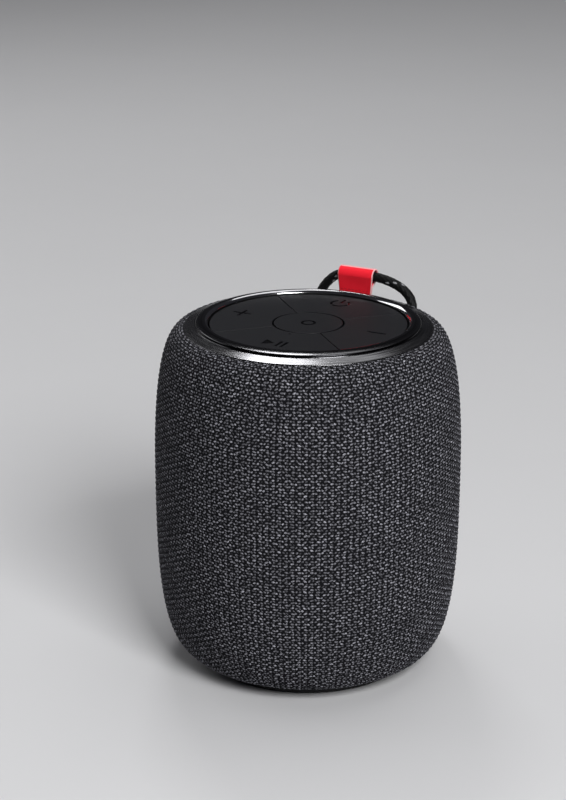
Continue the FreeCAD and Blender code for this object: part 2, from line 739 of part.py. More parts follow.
def chamber_lower():
    """Tub of the sealed chamber, on four pillars, with a step inside its rim for the battery holder."""
    inner = CHAMBER_RADIUS - CHAMBER_WALL
    step = inner - CHAMBER_STEP_WIDTH
    section = [
        (CHAMBER_OPENING_RADIUS, CHAMBER_FLOOR_BOTTOM), (CHAMBER_RADIUS, CHAMBER_FLOOR_BOTTOM),
        (CHAMBER_RADIUS, CHAMBER_SPLIT), (step, CHAMBER_SPLIT),
        (step, CHAMBER_SPLIT - CHAMBER_STEP_THICKNESS), (inner, CHAMBER_SPLIT - 4.0),
        (inner, CHAMBER_FLOOR_TOP), (CHAMBER_OPENING_RADIUS, CHAMBER_FLOOR_TOP),
    ]
    tub = turned(section).fuse(pins(pillar_places(), PILLAR_RADIUS, BASE_RIM_TOP, CHAMBER_FLOOR_BOTTOM + 1))
    holes = pins(pillar_places(), 1.25, BASE_RIM_TOP - CUT_PAST, BASE_RIM_TOP + 11)
    below = CHAMBER_FLOOR_BOTTOM - CUT_PAST
    holes += pins(driver_screw_places(), PILOT_RADIUS, below, CHAMBER_FLOOR_BOTTOM + 1.9)
    holes.append(cylinder(1.2, below, CHAMBER_FLOOR_TOP + CUT_PAST, 0, 31.5))
    return tub.cut(holes).removeSplitter()


def chamber_seal():
    return annulus(CHAMBER_RADIUS - CHAMBER_WALL + 0.1, CHAMBER_RADIUS - 0.1, CHAMBER_SPLIT,
                   CHAMBER_SPLIT + CHAMBER_SEAL_THICKNESS)


def lid_post_places():
    return [polar(LID_POST_CIRCLE, angle) for angle in (0, 90, 180, 270)]


def chamber_upper():
    inner = CHAMBER_RADIUS - CHAMBER_WALL
    split = CHAMBER_SPLIT + CHAMBER_SEAL_THICKNESS
    lid_bottom = CHAMBER_TOP - CHAMBER_LID_THICKNESS
    section = [(inner, split), (CHAMBER_RADIUS, split), (CHAMBER_RADIUS, CHAMBER_TOP),
               (CHAMBER_OPENING_RADIUS, CHAMBER_TOP), (CHAMBER_OPENING_RADIUS, lid_bottom),
               (inner, lid_bottom)]
    lid = turned(section).fuse(pins(lid_post_places(), LID_POST_RADIUS, CHAMBER_TOP - 1, SHELF_BOTTOM - 0.05))
    holes = pins(radiator_screw_places(), PILOT_RADIUS, CHAMBER_TOP - 1.8, CHAMBER_TOP + CUT_PAST)
    holes += pins([polar(HARNESS_CIRCLE, HARNESS_ANGLE)], 1.2, lid_bottom - CUT_PAST, CHAMBER_TOP + CUT_PAST)
    return lid.cut(holes).removeSplitter()


# ---------------------------------------------------------------- driver
def driver_basket():
    floor = MOTOR_BOTTOM - BASKET_THICKNESS
    section = [(BASKET_INNER_RADIUS, FLANGE_BOTTOM), (FLANGE_RADIUS, FLANGE_BOTTOM),
               (FLANGE_RADIUS, FLANGE_TOP), (24.0, FLANGE_TOP), (20.6, MOTOR_BOTTOM),
               (BASKET_BACK_RADIUS, MOTOR_BOTTOM),
               (BASKET_BACK_RADIUS, floor), (19.2, floor), (BASKET_INNER_RADIUS, FLANGE_TOP + 0.4)]
    window = block((15, 28), (-5.5, 5.5), (FLANGE_TOP + 1.4, MOTOR_BOTTOM - 3.2))
    holes = pins(driver_screw_places(), CLEARANCE_RADIUS, FLANGE_BOTTOM - CUT_PAST, FLANGE_TOP + CUT_PAST)
    basket = turned(section).cut(around(window, range(0, 360, 60)) + holes)
    terminal = block((-23.2, -19.8), (-4, 4), (MOTOR_BOTTOM - 1.5, MOTOR_BOTTOM))
    return basket.fuse(terminal).removeSplitter()


def driver_surround():
    return roll(20.5, 23.0, FLANGE_BOTTOM - 0.5, -1.5, 0.5, 19.2, 24.3)


def driver_cone():
    """Paper cone with its dust cap."""
    edge = FLANGE_BOTTOM
    section = [(19.2, edge), (20.4, edge), (20.4, edge + 0.6), (COIL_OUTER_RADIUS, CONE_NECK),
               (COIL_INNER_RADIUS, CONE_NECK), (COIL_INNER_RADIUS, CONE_NECK - 0.9)]
    inner_rim = (CAP_RADIUS - 0.4, CAP_RIM + 0.4)
    inner_apex = CAP_APEX + 0.6
    cap = turned_edges([
        cap_arc(CAP_APEX, CAP_RADIUS, CAP_RIM),
        line((CAP_RADIUS, CAP_RIM), inner_rim),
        cap_arc(inner_apex, *inner_rim),
        line((0, inner_apex), (0, CAP_APEX)),
    ])
    return turned(section).fuse(cap).removeSplitter()


def voice_coil():
    return annulus(COIL_INNER_RADIUS, COIL_OUTER_RADIUS, CONE_NECK, COIL_TOP)


def driver_spider():
    """Corrugated centring ring between the coil and the frame."""
    height = MOTOR_BOTTOM - 2.3
    lower = []
    for step in range(SPIDER_STEPS + 1):
        share = step / SPIDER_STEPS
        wave = SPIDER_WAVE * math.cos(2 * math.pi * SPIDER_WAVES * share)
        lower.append((COIL_OUTER_RADIUS + (SPIDER_RADIUS - COIL_OUTER_RADIUS) * share, height + wave))
    upper = [(radius, place + SPIDER_THICKNESS) for radius, place in reversed(lower)]
    return turned(lower + upper)


def driver_top_plate():
    return annulus(PLATE_BORE, PLATE_RADIUS, MOTOR_BOTTOM, TOP_PLATE_TOP)


def driver_magnet():
    return annulus(MAGNET_BORE, MAGNET_RADIUS, TOP_PLATE_TOP, MAGNET_TOP)


def driver_yoke():
    chamfer = 0.8
    section = [(0, MOTOR_BOTTOM), (POLE_RADIUS, MOTOR_BOTTOM), (POLE_RADIUS, MAGNET_TOP),
               (PLATE_RADIUS, MAGNET_TOP),
               (PLATE_RADIUS, YOKE_TOP - chamfer), (PLATE_RADIUS - chamfer, YOKE_TOP), (0, YOKE_TOP)]
    return turned(section)


def driver_gasket():
    ring = annulus(CHAMBER_OPENING_RADIUS, FLANGE_RADIUS, FLANGE_TOP, CHAMBER_FLOOR_BOTTOM)
    return ring.cut(pins(driver_screw_places(), CLEARANCE_RADIUS, FLANGE_TOP - CUT_PAST,
                         CHAMBER_FLOOR_BOTTOM + CUT_PAST))


def chamber_screws():
    """The same small screws hold the driver under the chamber and the passive radiator on its lid."""
    radiator_seat = CHAMBER_TOP + RADIATOR_FRAME_THICKNESS
    driver_set = screw_set(driver_screw_places(), FLANGE_BOTTOM, UP, CHAMBER_SCREW)
    radiator_set = screw_set(radiator_screw_places(), radiator_seat, DOWN, CHAMBER_SCREW)
    return Part.makeCompound(driver_set.Solids + radiator_set.Solids)


def diffuser_cone():
    """Flared cone that turns the sound outward, standing on the base plate."""
    rim = (DIFFUSER_RADIUS, BASE_PLATE_TOP + DIFFUSER_RIM)
    tip = (DIFFUSER_TIP_RADIUS, DIFFUSER_TIP_HEIGHT)
    return turned_edges([
        line((0, BASE_PLATE_TOP), (DIFFUSER_RADIUS, BASE_PLATE_TOP)),
        line((DIFFUSER_RADIUS, BASE_PLATE_TOP), rim),
        arc(rim, (8.0, 12.0), tip),
        cap_arc(DIFFUSER_TOP, *tip),
        line((0, DIFFUSER_TOP), (0, BASE_PLATE_TOP)),
    ])


# ---------------------------------------------------------------- base
def base_plate():
    """Shallow tray with a seat for each pillar and a well for each screw head."""
    wall = BASE_RADIUS - 1.8
    chamfer = 0.4
    section = [(0, FOOT_THICKNESS), (BASE_RADIUS - chamfer, FOOT_THICKNESS),
               (BASE_RADIUS, FOOT_THICKNESS + chamfer), (BASE_RADIUS, BASE_RIM_TOP),
               (wall, BASE_RIM_TOP), (wall, BASE_PLATE_TOP), (0, BASE_PLATE_TOP)]
    plate = turned(section).fuse(pins(pillar_places(), 2.85, BASE_PLATE_TOP - 0.5, BASE_RIM_TOP))
    below = FOOT_THICKNESS - CUT_PAST
    holes = pins(pillar_places(), 1.35, below, BASE_RIM_TOP + CUT_PAST)
    holes += pins(pillar_places(), 2.4, below, FOOT_THICKNESS + BASE_SCREW_WELL)
    return plate.cut(holes).removeSplitter()


def foot_ring():
    round_size = 0.6
    bottom_corner = (FOOT_RADIUS - round_size, 0)
    side_corner = (FOOT_RADIUS, round_size)
    middle = (FOOT_RADIUS - round_size * (1 - math.sqrt(0.5)), round_size * (1 - math.sqrt(0.5)))
    return turned_edges([
        line((FOOT_INNER_RADIUS, 0), bottom_corner),
        arc(bottom_corner, middle, side_corner),
        line(side_corner, (FOOT_RADIUS, FOOT_THICKNESS)),
        line((FOOT_RADIUS, FOOT_THICKNESS), (FOOT_INNER_RADIUS, FOOT_THICKNESS)),
        line((FOOT_INNER_RADIUS, FOOT_THICKNESS), (FOOT_INNER_RADIUS, 0)),
    ])


def base_screws():
    return screw_set(pillar_places(), FOOT_THICKNESS + BASE_SCREW_WELL, UP, BASE_SCREW)


# ---------------------------------------------------------------- power and electronics
def main_board_posts():
    half_x, half_y = MAIN_BOARD_POSTS
    return [Vector(x, y, 0) for x in (-half_x, half_x) for y in (-half_y, half_y)]


def battery_cell():
    end = Vector(-BATTERY_LENGTH / 2, 0, BATTERY_HEIGHT)
    cell = Part.makeCylinder(BATTERY_RADIUS, BATTERY_LENGTH, end, Vector(1, 0, 0))
    return cell.makeFillet(0.6, [edge for edge in cell.Edges if edge.Closed])


def battery_holder():
    floor_radius = CHAMBER_RADIUS - CHAMBER_WALL - 0.3
    holder = cylinder(floor_radius, HOLDER_BOTTOM, HOLDER_TOP)
    saddles = [block((middle - SADDLE_HALF_WIDTH, middle + SADDLE_HALF_WIDTH),
                     (-SADDLE_HALF_DEPTH, SADDLE_HALF_DEPTH), (HOLDER_TOP - 0.5, BATTERY_HEIGHT - 1.0))
               for middle in (-SADDLE_PLACE, SADDLE_PLACE)]
    holder = holder.fuse(saddles + pins(main_board_posts(), 1.8, MAIN_BOARD_TOP, HOLDER_BOTTOM + 0.5))
    bed = Part.makeCylinder(BATTERY_RADIUS + 0.05, BATTERY_LENGTH + 15,
                            Vector(-(BATTERY_LENGTH + 15) / 2, 0, BATTERY_HEIGHT), Vector(1, 0, 0))
    below, above = HOLDER_BOTTOM - CUT_PAST, HOLDER_TOP + CUT_PAST
    lead_slot = block((29.0, 37.0), (-7, 2), (below, above))
    holes = pins(main_board_posts(), PILOT_RADIUS, MAIN_BOARD_TOP - CUT_PAST, MAIN_BOARD_TOP + 2.6)
    holes += pins([polar(HARNESS_CIRCLE - 2, HARNESS_ANGLE)], 5.5, below, above)
    return holder.cut([bed, lead_slot] + holes).removeSplitter()


def main_board():
    half_x, half_y = MAIN_BOARD_SIZE[0] / 2, MAIN_BOARD_SIZE[1] / 2
    bottom = MAIN_BOARD_TOP - BOARD_THICKNESS
    board = block((-half_x, half_x), (-half_y, half_y), (bottom, MAIN_BOARD_TOP))
    holes = pins(main_board_posts(), CLEARANCE_RADIUS, bottom - CUT_PAST, MAIN_BOARD_TOP + CUT_PAST)
    chips = [
        block((-7, 1), (-5, 3), (MAIN_BOARD_TOP - 0.2, MAIN_BOARD_TOP + 1.0)),
        block((5, 12), (-9, -3), (MAIN_BOARD_TOP - 0.2, MAIN_BOARD_TOP + 1.2)),
        block((4, 10), (4, 9), (MAIN_BOARD_TOP - 0.2, MAIN_BOARD_TOP + 0.9)),
        block((-15, -10), (-3, 4), (bottom - 1.6, bottom + 0.2)),
        block((12, 18), (-6, 6), (bottom - 1.8, bottom + 0.2)),
    ]
    return board.cut(holes).fuse(chips).removeSplitter()


def signal_harness():
    """Cable from the control board and cable from the port board, both to the main board."""
    board_under = CONTROL_BOARD_TOP - BOARD_THICKNESS - 1.8
    hole = polar(HARNESS_CIRCLE, HARNESS_ANGLE)
    upper = [
        (9.0, -21.5, board_under), (9.3, -22.4, 92.6), (11.6, -27.9, 90.8), (hole.x, hole.y, 86.8),
        (hole.x, hole.y - 0.02, 76.0), (hole.x - 0.2, hole.y + 0.3, 67.0), (hole.x - 0.9, hole.y + 2.2, 61.5),
        (10.3, -22.5, 58.9), (9.6, -MAIN_BOARD_SIZE[1] / 2 - 0.3, 58.4),
    ]
    lower = [
        (0, 24.5, PORT_BOARD_TOP + 0.3), (0, 25.5, 21.0), (0, 31.2, 25.5), (0, 31.5, 33.0), (0, 31.3, 42.0),
        (0, 30.6, 50.0), (0, 27.0, 56.0), (0, MAIN_BOARD_SIZE[1] / 2 + 0.3, 58.4),
    ]
    return Part.makeCompound([tube(upper, HARNESS_RADIUS), tube(lower, HARNESS_RADIUS)])


def battery_leads():
    leads = []
    for y in (-4.5, -1.5):
        route = [(BATTERY_LENGTH / 2 + 0.5, y, 68.5), (34.4, y, 67.0), (33.4, y, 63.4), (30.6, y, 59.9),
                 (MAIN_BOARD_SIZE[0] / 2 + 0.4, y, 58.4)]
        leads.append(tube(route, LEAD_RADIUS))
    return Part.makeCompound(leads)


def speaker_leads():
    leads = []
    for y in (-2.5, 2.5):
        route = [(-MAIN_BOARD_SIZE[0] / 2 - 0.3, y, 58.4), (-26.0, y, 57.6), (-27.2, y, 53.0),
                 (-26.2, y, 47.0), (-23.4, y, 44.6), (-22.2, y, MOTOR_BOTTOM + 0.25)]
        leads.append(tube(route, LEAD_RADIUS))
    return Part.makeCompound(leads)


# ---------------------------------------------------------------- rear port
def proud_barrel():
    return barrel(-PORT_PROUD)


def knuckle(extra):
    """Round pivot along the upright edge of the flap."""
    half_length = KNUCKLE_HALF_LENGTH + extra
    return cylinder(KNUCKLE_RADIUS + extra, PORT_HEIGHT - half_length, PORT_HEIGHT + half_length,
                    *HINGE_PLACE)


def port_housing():
    bezel = port_opening(0).common(proud_barrel())
    flange = block((-PORT_FLANGE_HALF_WIDTH, PORT_FLANGE_HALF_WIDTH),
                   (HOUSING_BACK, HOUSING_BACK + PORT_FLANGE_THICKNESS),
                   (PORT_HEIGHT - PORT_FLANGE_HALF_TALL, PORT_HEIGHT + PORT_FLANGE_HALF_TALL))
    housing = bezel.fuse(flange)
    pocket = rounded_plate(POCKET_WIDTH, POCKET_TALL, POCKET_TALL / 2 - 0.6, 0, PORT_HEIGHT,
                           POCKET_FLOOR, BODY_RADIUS + 2)
    usb_hole = rounded_bar(USB_SIZE[0] + 0.1, USB_SIZE[1] + 0.1, USB_PLACE, PORT_HEIGHT,
                           HOUSING_BACK - 1, POCKET_FLOOR + 1)
    aux_hole = Part.makeCylinder(AUX_NOSE_RADIUS + FIT_GAP, 4,
                                 Vector(AUX_PLACE, HOUSING_BACK - 1, PORT_HEIGHT), Vector(0, 1, 0))
    return housing.cut([pocket, usb_hole, aux_hole, knuckle(FIT_GAP)]).removeSplitter()


def usb_c_receptacle():
    start = POCKET_FLOOR - USB_DEPTH
    shell = rounded_bar(*USB_SIZE, USB_PLACE, PORT_HEIGHT, start, POCKET_FLOOR)
    cavity = rounded_bar(USB_SIZE[0] - 2 * USB_WALL, USB_SIZE[1] - 2 * USB_WALL, USB_PLACE, PORT_HEIGHT,
                         start + 1.0, POCKET_FLOOR + 1)
    tongue = block((USB_PLACE - 3.3, USB_PLACE + 3.3), (start + 0.5, POCKET_FLOOR - 0.8),
                   (PORT_HEIGHT - 0.35, PORT_HEIGHT + 0.35))
    legs = [block((USB_PLACE + side * 3 - 0.6, USB_PLACE + side * 3 + 0.6), (start + 1, start + 4),
                  (PORT_BOARD_TOP, PORT_HEIGHT - USB_SIZE[1] / 2 + 0.2)) for side in (-1, 1)]
    return shell.cut(cavity).fuse([tongue] + legs).removeSplitter()


def aux_jack():
    back = POCKET_FLOOR - AUX_BORE_LENGTH
    body = block((AUX_PLACE - AUX_BODY_HALF_WIDTH, AUX_PLACE + AUX_BODY_HALF_WIDTH),
                 (back - 0.8, HOUSING_BACK - FIT_GAP), (PORT_BOARD_TOP, PORT_BOARD_TOP + AUX_BODY_TALL))
    nose = Part.makeCylinder(AUX_NOSE_RADIUS, POCKET_FLOOR - HOUSING_BACK + 1,
                             Vector(AUX_PLACE, HOUSING_BACK - 1, PORT_HEIGHT), Vector(0, 1, 0))
    bore = Part.makeCylinder(AUX_BORE_RADIUS, AUX_BORE_LENGTH + 1, Vector(AUX_PLACE, back, PORT_HEIGHT),
                             Vector(0, 1, 0))
    return body.fuse(nose).cut(bore).removeSplitter()


def port_board():
    return block((-PORT_BOARD_HALF_WIDTH, PORT_BOARD_HALF_WIDTH),
                 (POCKET_FLOOR - AUX_BORE_LENGTH - 1.0, HOUSING_BACK - FIT_GAP),
                 (PORT_BOARD_TOP - PORT_BOARD_THICKNESS, PORT_BOARD_TOP))


def port_flap():
    width = POCKET_WIDTH - 2 * FLAP_GAP
    tall = POCKET_TALL - 2 * FLAP_GAP
    slab = rounded_plate(width, tall, tall / 2 - 0.6, 0, PORT_HEIGHT, POCKET_FLOOR, BODY_RADIUS + 2)
    cover = slab.common(proud_barrel()).cut(barrel(FLAP_THICKNESS - PORT_PROUD))
    return cover.fuse(knuckle(0)).removeSplitter()


# ---------------------------------------------------------------- lanyard
def lanyard_anchors():
    """Plugs in the shell; a flange fills the hole in the fabric, and the bore flares outward."""
    flange_layer = proud_barrel().cut(barrel(SLEEVE_THICKNESS))
    length = ANCHOR_DEPTH + ANCHOR_REACH
    anchors = []
    for start, direction in anchor_axes():
        foot = start - direction * ANCHOR_DEPTH
        plug = Part.makeCylinder(ANCHOR_RADIUS, length, foot, direction).common(proud_barrel())
        flange = Part.makeCylinder(ANCHOR_FLANGE_RADIUS, length, foot, direction).common(flange_layer)
        bore = Part.makeCylinder(CORD_RADIUS + ANCHOR_FIT, ANCHOR_REACH, start, direction)
        flare_start = start + direction * ANCHOR_FLARE_START
        flare = Part.makeCone(CORD_RADIUS + ANCHOR_FIT, ANCHOR_FLARE_RADIUS,
                              ANCHOR_REACH - ANCHOR_FLARE_START, flare_start, direction)
        anchors.append(plug.fuse(flange).cut([bore, flare]).removeSplitter())
    return Part.makeCompound(anchors)


def lanyard_tag():
    """Strip of webbing folded over the cord: the front ply hangs straight and the rear ply is sewn to it."""
    slope = (TAG_HALF_DEPTH + TAG_HEM_FACE) / (TAG_TURN_HEIGHT - TAG_BOTTOM)

    def front_face(height):
        return TAG_HEM_FACE - slope * (height - TAG_BOTTOM)

    def section(inset, shoulder, join, low):
        """Outline in the YZ plane, inset from the outer faces; low holds its two lowest corners."""
        half_depth = TAG_HALF_DEPTH - inset
        corners = [(half_depth, TAG_TURN_HEIGHT), (half_depth, shoulder), join] + low
        corners.append((-half_depth, TAG_TURN_HEIGHT))
        points = [Vector(TAG_LEFT, TAG_PLACE + depth, height) for depth, height in corners]
        edges = [Part.makeLine(start, end) for start, end in zip(points, points[1:])]
        top = Vector(TAG_LEFT, TAG_PLACE, TAG_TURN_HEIGHT + half_depth)
        edges.append(Part.Arc(points[-1], top, points[0]).toShape())
        return Part.Face(Part.Wire(edges)).extrude(Vector(TAG_RIGHT - TAG_LEFT, 0, 0))

    plies = 2 * TAG_THICKNESS
    join = (front_face(TAG_JOIN) + plies, TAG_JOIN)
    hem = [(TAG_HEM_FACE + plies, TAG_BOTTOM), (TAG_HEM_FACE, TAG_BOTTOM)]
    strip = section(0, TAG_SHOULDER, join, hem)
    throat = TAG_JOIN + TAG_THICKNESS / 2
    throat_face = front_face(throat) + TAG_THICKNESS
    loop = section(TAG_THICKNESS, TAG_SHOULDER + TAG_THICKNESS / 3, (throat_face + 0.15, throat),
                   [(throat_face, throat)])
    return strip.cut(loop)


# ---------------------------------------------------------------- all sub-parts
def main():
    os.makedirs("parts", exist_ok=True)
    save("fabric_sleeve", fabric_sleeve())
    save("grille_cage", grille_cage())
    save("top_trim_ring", top_trim_ring())
    save("ring_screws", ring_screws())
    save("control_deck", control_deck())
    save("deck_screws", deck_screws())
    save("control_board", control_board())
    save("board_screws", board_screws())
    save("tact_switches", tact_switches())
    save("status_light", status_light())
    save("microphone", microphone())
    for name in KEY_ANGLES:
        save("key_" + name, quadrant_key(name))
    save("key_center", center_key())
    for name, place in plunger_places().items():
        save("stem_" + name, switch_stem(place))
        save("dome_" + name, return_dome(place))
    save("radiator_frame", radiator_frame())
    save("radiator_surround", radiator_surround())
    save("radiator_plate", radiator_plate())
    save("chamber_upper", chamber_upper())
    save("chamber_seal", chamber_seal())
    save("chamber_lower", chamber_lower())
    save("driver_basket", driver_basket())
    save("driver_surround", driver_surround())
    save("driver_cone", driver_cone())
    save("voice_coil", voice_coil())
    save("driver_spider", driver_spider())
    save("driver_top_plate", driver_top_plate())
    save("driver_magnet", driver_magnet())
    save("driver_yoke", driver_yoke())
    save("driver_gasket", driver_gasket())
    save("chamber_screws", chamber_screws())
    save("diffuser_cone", diffuser_cone())
    save("base_plate", base_plate())
    save("foot_ring", foot_ring())
    save("base_screws", base_screws())
    save("battery_cell", battery_cell())
    save("battery_holder", battery_holder())
    save("battery_leads", battery_leads())
    save("main_board", main_board())
    save("speaker_leads", speaker_leads())
    save("signal_harness", signal_harness())
    save("port_housing", port_housing())
    save("port_flap", port_flap())
    save("port_board", port_board())
    save("usb_c_receptacle", usb_c_receptacle())
    save("aux_jack", aux_jack())
    save("lanyard_anchors", lanyard_anchors())
    save("lanyard_cord", tube(CORD_ROUTE, CORD_RADIUS))
    save("lanyard_tag", lanyard_tag())


main()
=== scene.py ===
"""Looks of the portable barrel loudspeaker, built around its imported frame.

Metres, Z up, origin on the floor under the middle of the foot. The front is -Y, and the lanyard and the
charging port are at the rear, +Y.
"""
import json
import math
import random

import bmesh
import bpy
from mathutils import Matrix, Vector

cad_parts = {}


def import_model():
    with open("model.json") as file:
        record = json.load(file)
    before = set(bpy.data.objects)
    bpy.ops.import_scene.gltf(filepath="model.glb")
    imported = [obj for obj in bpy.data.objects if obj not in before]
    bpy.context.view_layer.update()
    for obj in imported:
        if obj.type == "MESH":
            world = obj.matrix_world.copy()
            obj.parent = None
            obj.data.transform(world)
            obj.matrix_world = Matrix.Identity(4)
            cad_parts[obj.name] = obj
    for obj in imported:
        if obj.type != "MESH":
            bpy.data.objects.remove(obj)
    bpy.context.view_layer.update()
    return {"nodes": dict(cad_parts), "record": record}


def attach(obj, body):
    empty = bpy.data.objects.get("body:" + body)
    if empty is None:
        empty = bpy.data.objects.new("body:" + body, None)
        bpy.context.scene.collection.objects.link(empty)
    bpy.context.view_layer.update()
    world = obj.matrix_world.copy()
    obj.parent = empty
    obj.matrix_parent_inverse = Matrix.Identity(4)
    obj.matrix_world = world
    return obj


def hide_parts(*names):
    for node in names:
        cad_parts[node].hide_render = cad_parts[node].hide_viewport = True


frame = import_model()

# ---------------------------------------------------------------- driving dimensions
# the camera's angles are in degrees and its lens is in millimetres
CAMERA_PLACE = (0.2497, -0.5120, 0.2829)
CAMERA_TILT = 70.5
CAMERA_HEADING = 26.75
CAMERA_LENS = 91.0
FLOOR_REACH = 6.0

# barrel outline, two superellipse quarters that meet at the widest height
BODY_RADIUS = 0.0460
WIDEST_HEIGHT = 0.0578
SLEEVE_TOP = (0.0368, 0.1042)
SLEEVE_FOOT = (0.0336, 0.0036)
UPPER_FULLNESS = 2.5
LOWER_FULLNESS = 3.0
OUTLINE_STEPS = 400

# woven sleeve
WEAVE_COLUMNS = 78
WEAVE_ROWS = 126
WEAVE_STEPS = 4
WEAVE_RELIEF = 0.00014
# how far the surface stands out at each column of a repeat on the rows of floats, in shares of the relief,
# and the least and greatest part of it that a point gets
WEAVE_SWELL = (1.0, 0.5, -0.8, 0.0)
WEAVE_UNEVENNESS = (0.6, 1.0)
WEAVE_FADE_ROWS = 4
# share of the repeat, half width, half height, tilt, least and greatest lightness of each float
WEAVE_FLOATS = [
    (0.00, 0.18, 0.42, 3.2, 0.70, 1.00),
    (0.29, 0.12, 0.42, 4.4, 0.50, 0.95),
    (0.56, 0.11, 0.36, 4.4, 0.20, 0.65),
]
FLOAT_DRIFT = 0.10
FLOAT_RISE = 0.22
FLOAT_COLOUR = (0.40, 0.40, 0.445)
SLEEVE_TURN_IN = 0.0010

# rear port opening in the sleeve, and the two holes round the cord's anchors
PORT_HEIGHT = 0.0190
PORT_HALF_WIDTH = 0.0141
PORT_HALF_TALL = 0.0061
PORT_CORNER = 0.0055
ANCHOR_HOLE_RADIUS = 0.0030
ANCHOR_HOLE_DRAW = 0.9
# the sleeve is cut only behind the first of these, and at the anchors only above the second
REAR_SIDE = 0.03
SHOULDER_HEIGHT = 0.09

# lanyard
CORD_DIAMETER = 0.0030
CORD_ROUTE = [
    (0.0174, 0.0369, 0.0986),
    (0.0171, 0.0386, 0.1021),
    (0.0150, 0.0398, 0.1055),
    (0.0109, 0.0400, 0.1081),
    (0.0050, 0.0400, 0.1096),
    (-0.0024, 0.0398, 0.1099),
    (-0.0089, 0.0398, 0.1094),
    (-0.0128, 0.0397, 0.1062),
    (-0.0149, 0.0390, 0.1026),
    (-0.0159, 0.0376, 0.0988),
]
BRAID_STRANDS = 8
BRAID_PITCH = 0.0011
BRAID_RELIEF = 0.00016
BRAID_AROUND = 64
BRAID_STEP = 0.00014
# half of a strand's width and half of its length that a light tracer float covers
TRACER_HALF_WIDTH = 0.36
TRACER_HALF_LENGTH = 0.46

TAG_LEFT = -0.0082
TAG_RIGHT = 0.0036
TAG_PLACE = 0.03985
TAG_PLY = 0.0005
TAG_HALF_DEPTH = 0.0022
TAG_TURN_HEIGHT = 0.1097
TAG_SHOULDER = 0.1076
TAG_JOIN = 0.1058
TAG_BOTTOM = 0.1041
TAG_HEM = -0.0009
TAG_WARPS = 40
TAG_WEFTS = 80
TAG_STEP = 0.00022
TAG_COLUMNS = 46
TAG_TURN_STEPS = 24
TAG_PLY_GAP = 0.0001
TAG_REAR_START = 0.0006
TAG_NARROWING = 0.0010
TAG_SWAY = 0.00012
TAG_EDGE_THINNING = 0.72
STITCH_COUNT = 8
STITCH_MARGIN = 0.0004
STITCH_END_MARGIN = 0.0016
STITCH_ABOVE_HEM = 0.0008
STITCH_SHARE = 0.74
STITCH_DEPTH = 0.00026
STITCH_WIDTH = 0.00030
STITCH_PROUD = 0.00008

# top ring and keys
BEVEL_RADIUS = 0.0333
RING_BORE = 0.0297
RING_SKIRT = 0.0334
RING_LEDGE = 0.0275
RING_LEDGE_TOP = 0.1012
RING_BOTTOM = 0.09895
RING_TOP = 0.1066
RING_EDGE = [(0.0368, 0.10425), (0.03695, 0.10439), (0.03678, 0.10450)]
RING_BEVEL_END = [(0.03410, 0.10542), (0.03385, 0.10546), (0.03365, 0.10536)]
RING_GROOVE = (0.0334, 0.10530)
RING_CROWN_START = [(0.03325, 0.10585), (0.03313, 0.10605), (0.03290, 0.10616)]
RING_CROWN_MIDDLE = (0.03175, 0.10647)
RING_COLUMNS = 512
LIP_ROUND = 0.0008
LIP_BULGE = 0.00034
EDGE_ARC_STEPS = 8
CROWN_ARC_STEPS = 10
LIP_ARC_STEPS = 14
EDGE_SOFTNESS = 0.00004
SAME_POINT = 0.000001
# width of the soft step from one finish of the ring to the next
ZONE_BLUR = 0.0001
PANEL_TOP = 0.1054
SYMBOL_DEPTH = 0.0002
WIRE_DIAMETER = 0.00025


# ---------------------------------------------------------------- node trees
SHADER_INPUTS = {
    "colour": "Base Color",
    "roughness": "Roughness",
    "metallic": "Metallic",
    "normal": "Normal",
    "specular": "Specular IOR Level",
    "sheen": "Sheen Weight",
    "sheen_roughness": "Sheen Roughness",
    "coat": "Coat Weight",
    "coat_roughness": "Coat Roughness",
    "ior": "IOR",
    "transmission": "Transmission Weight",
    "subsurface": "Subsurface Weight",
}


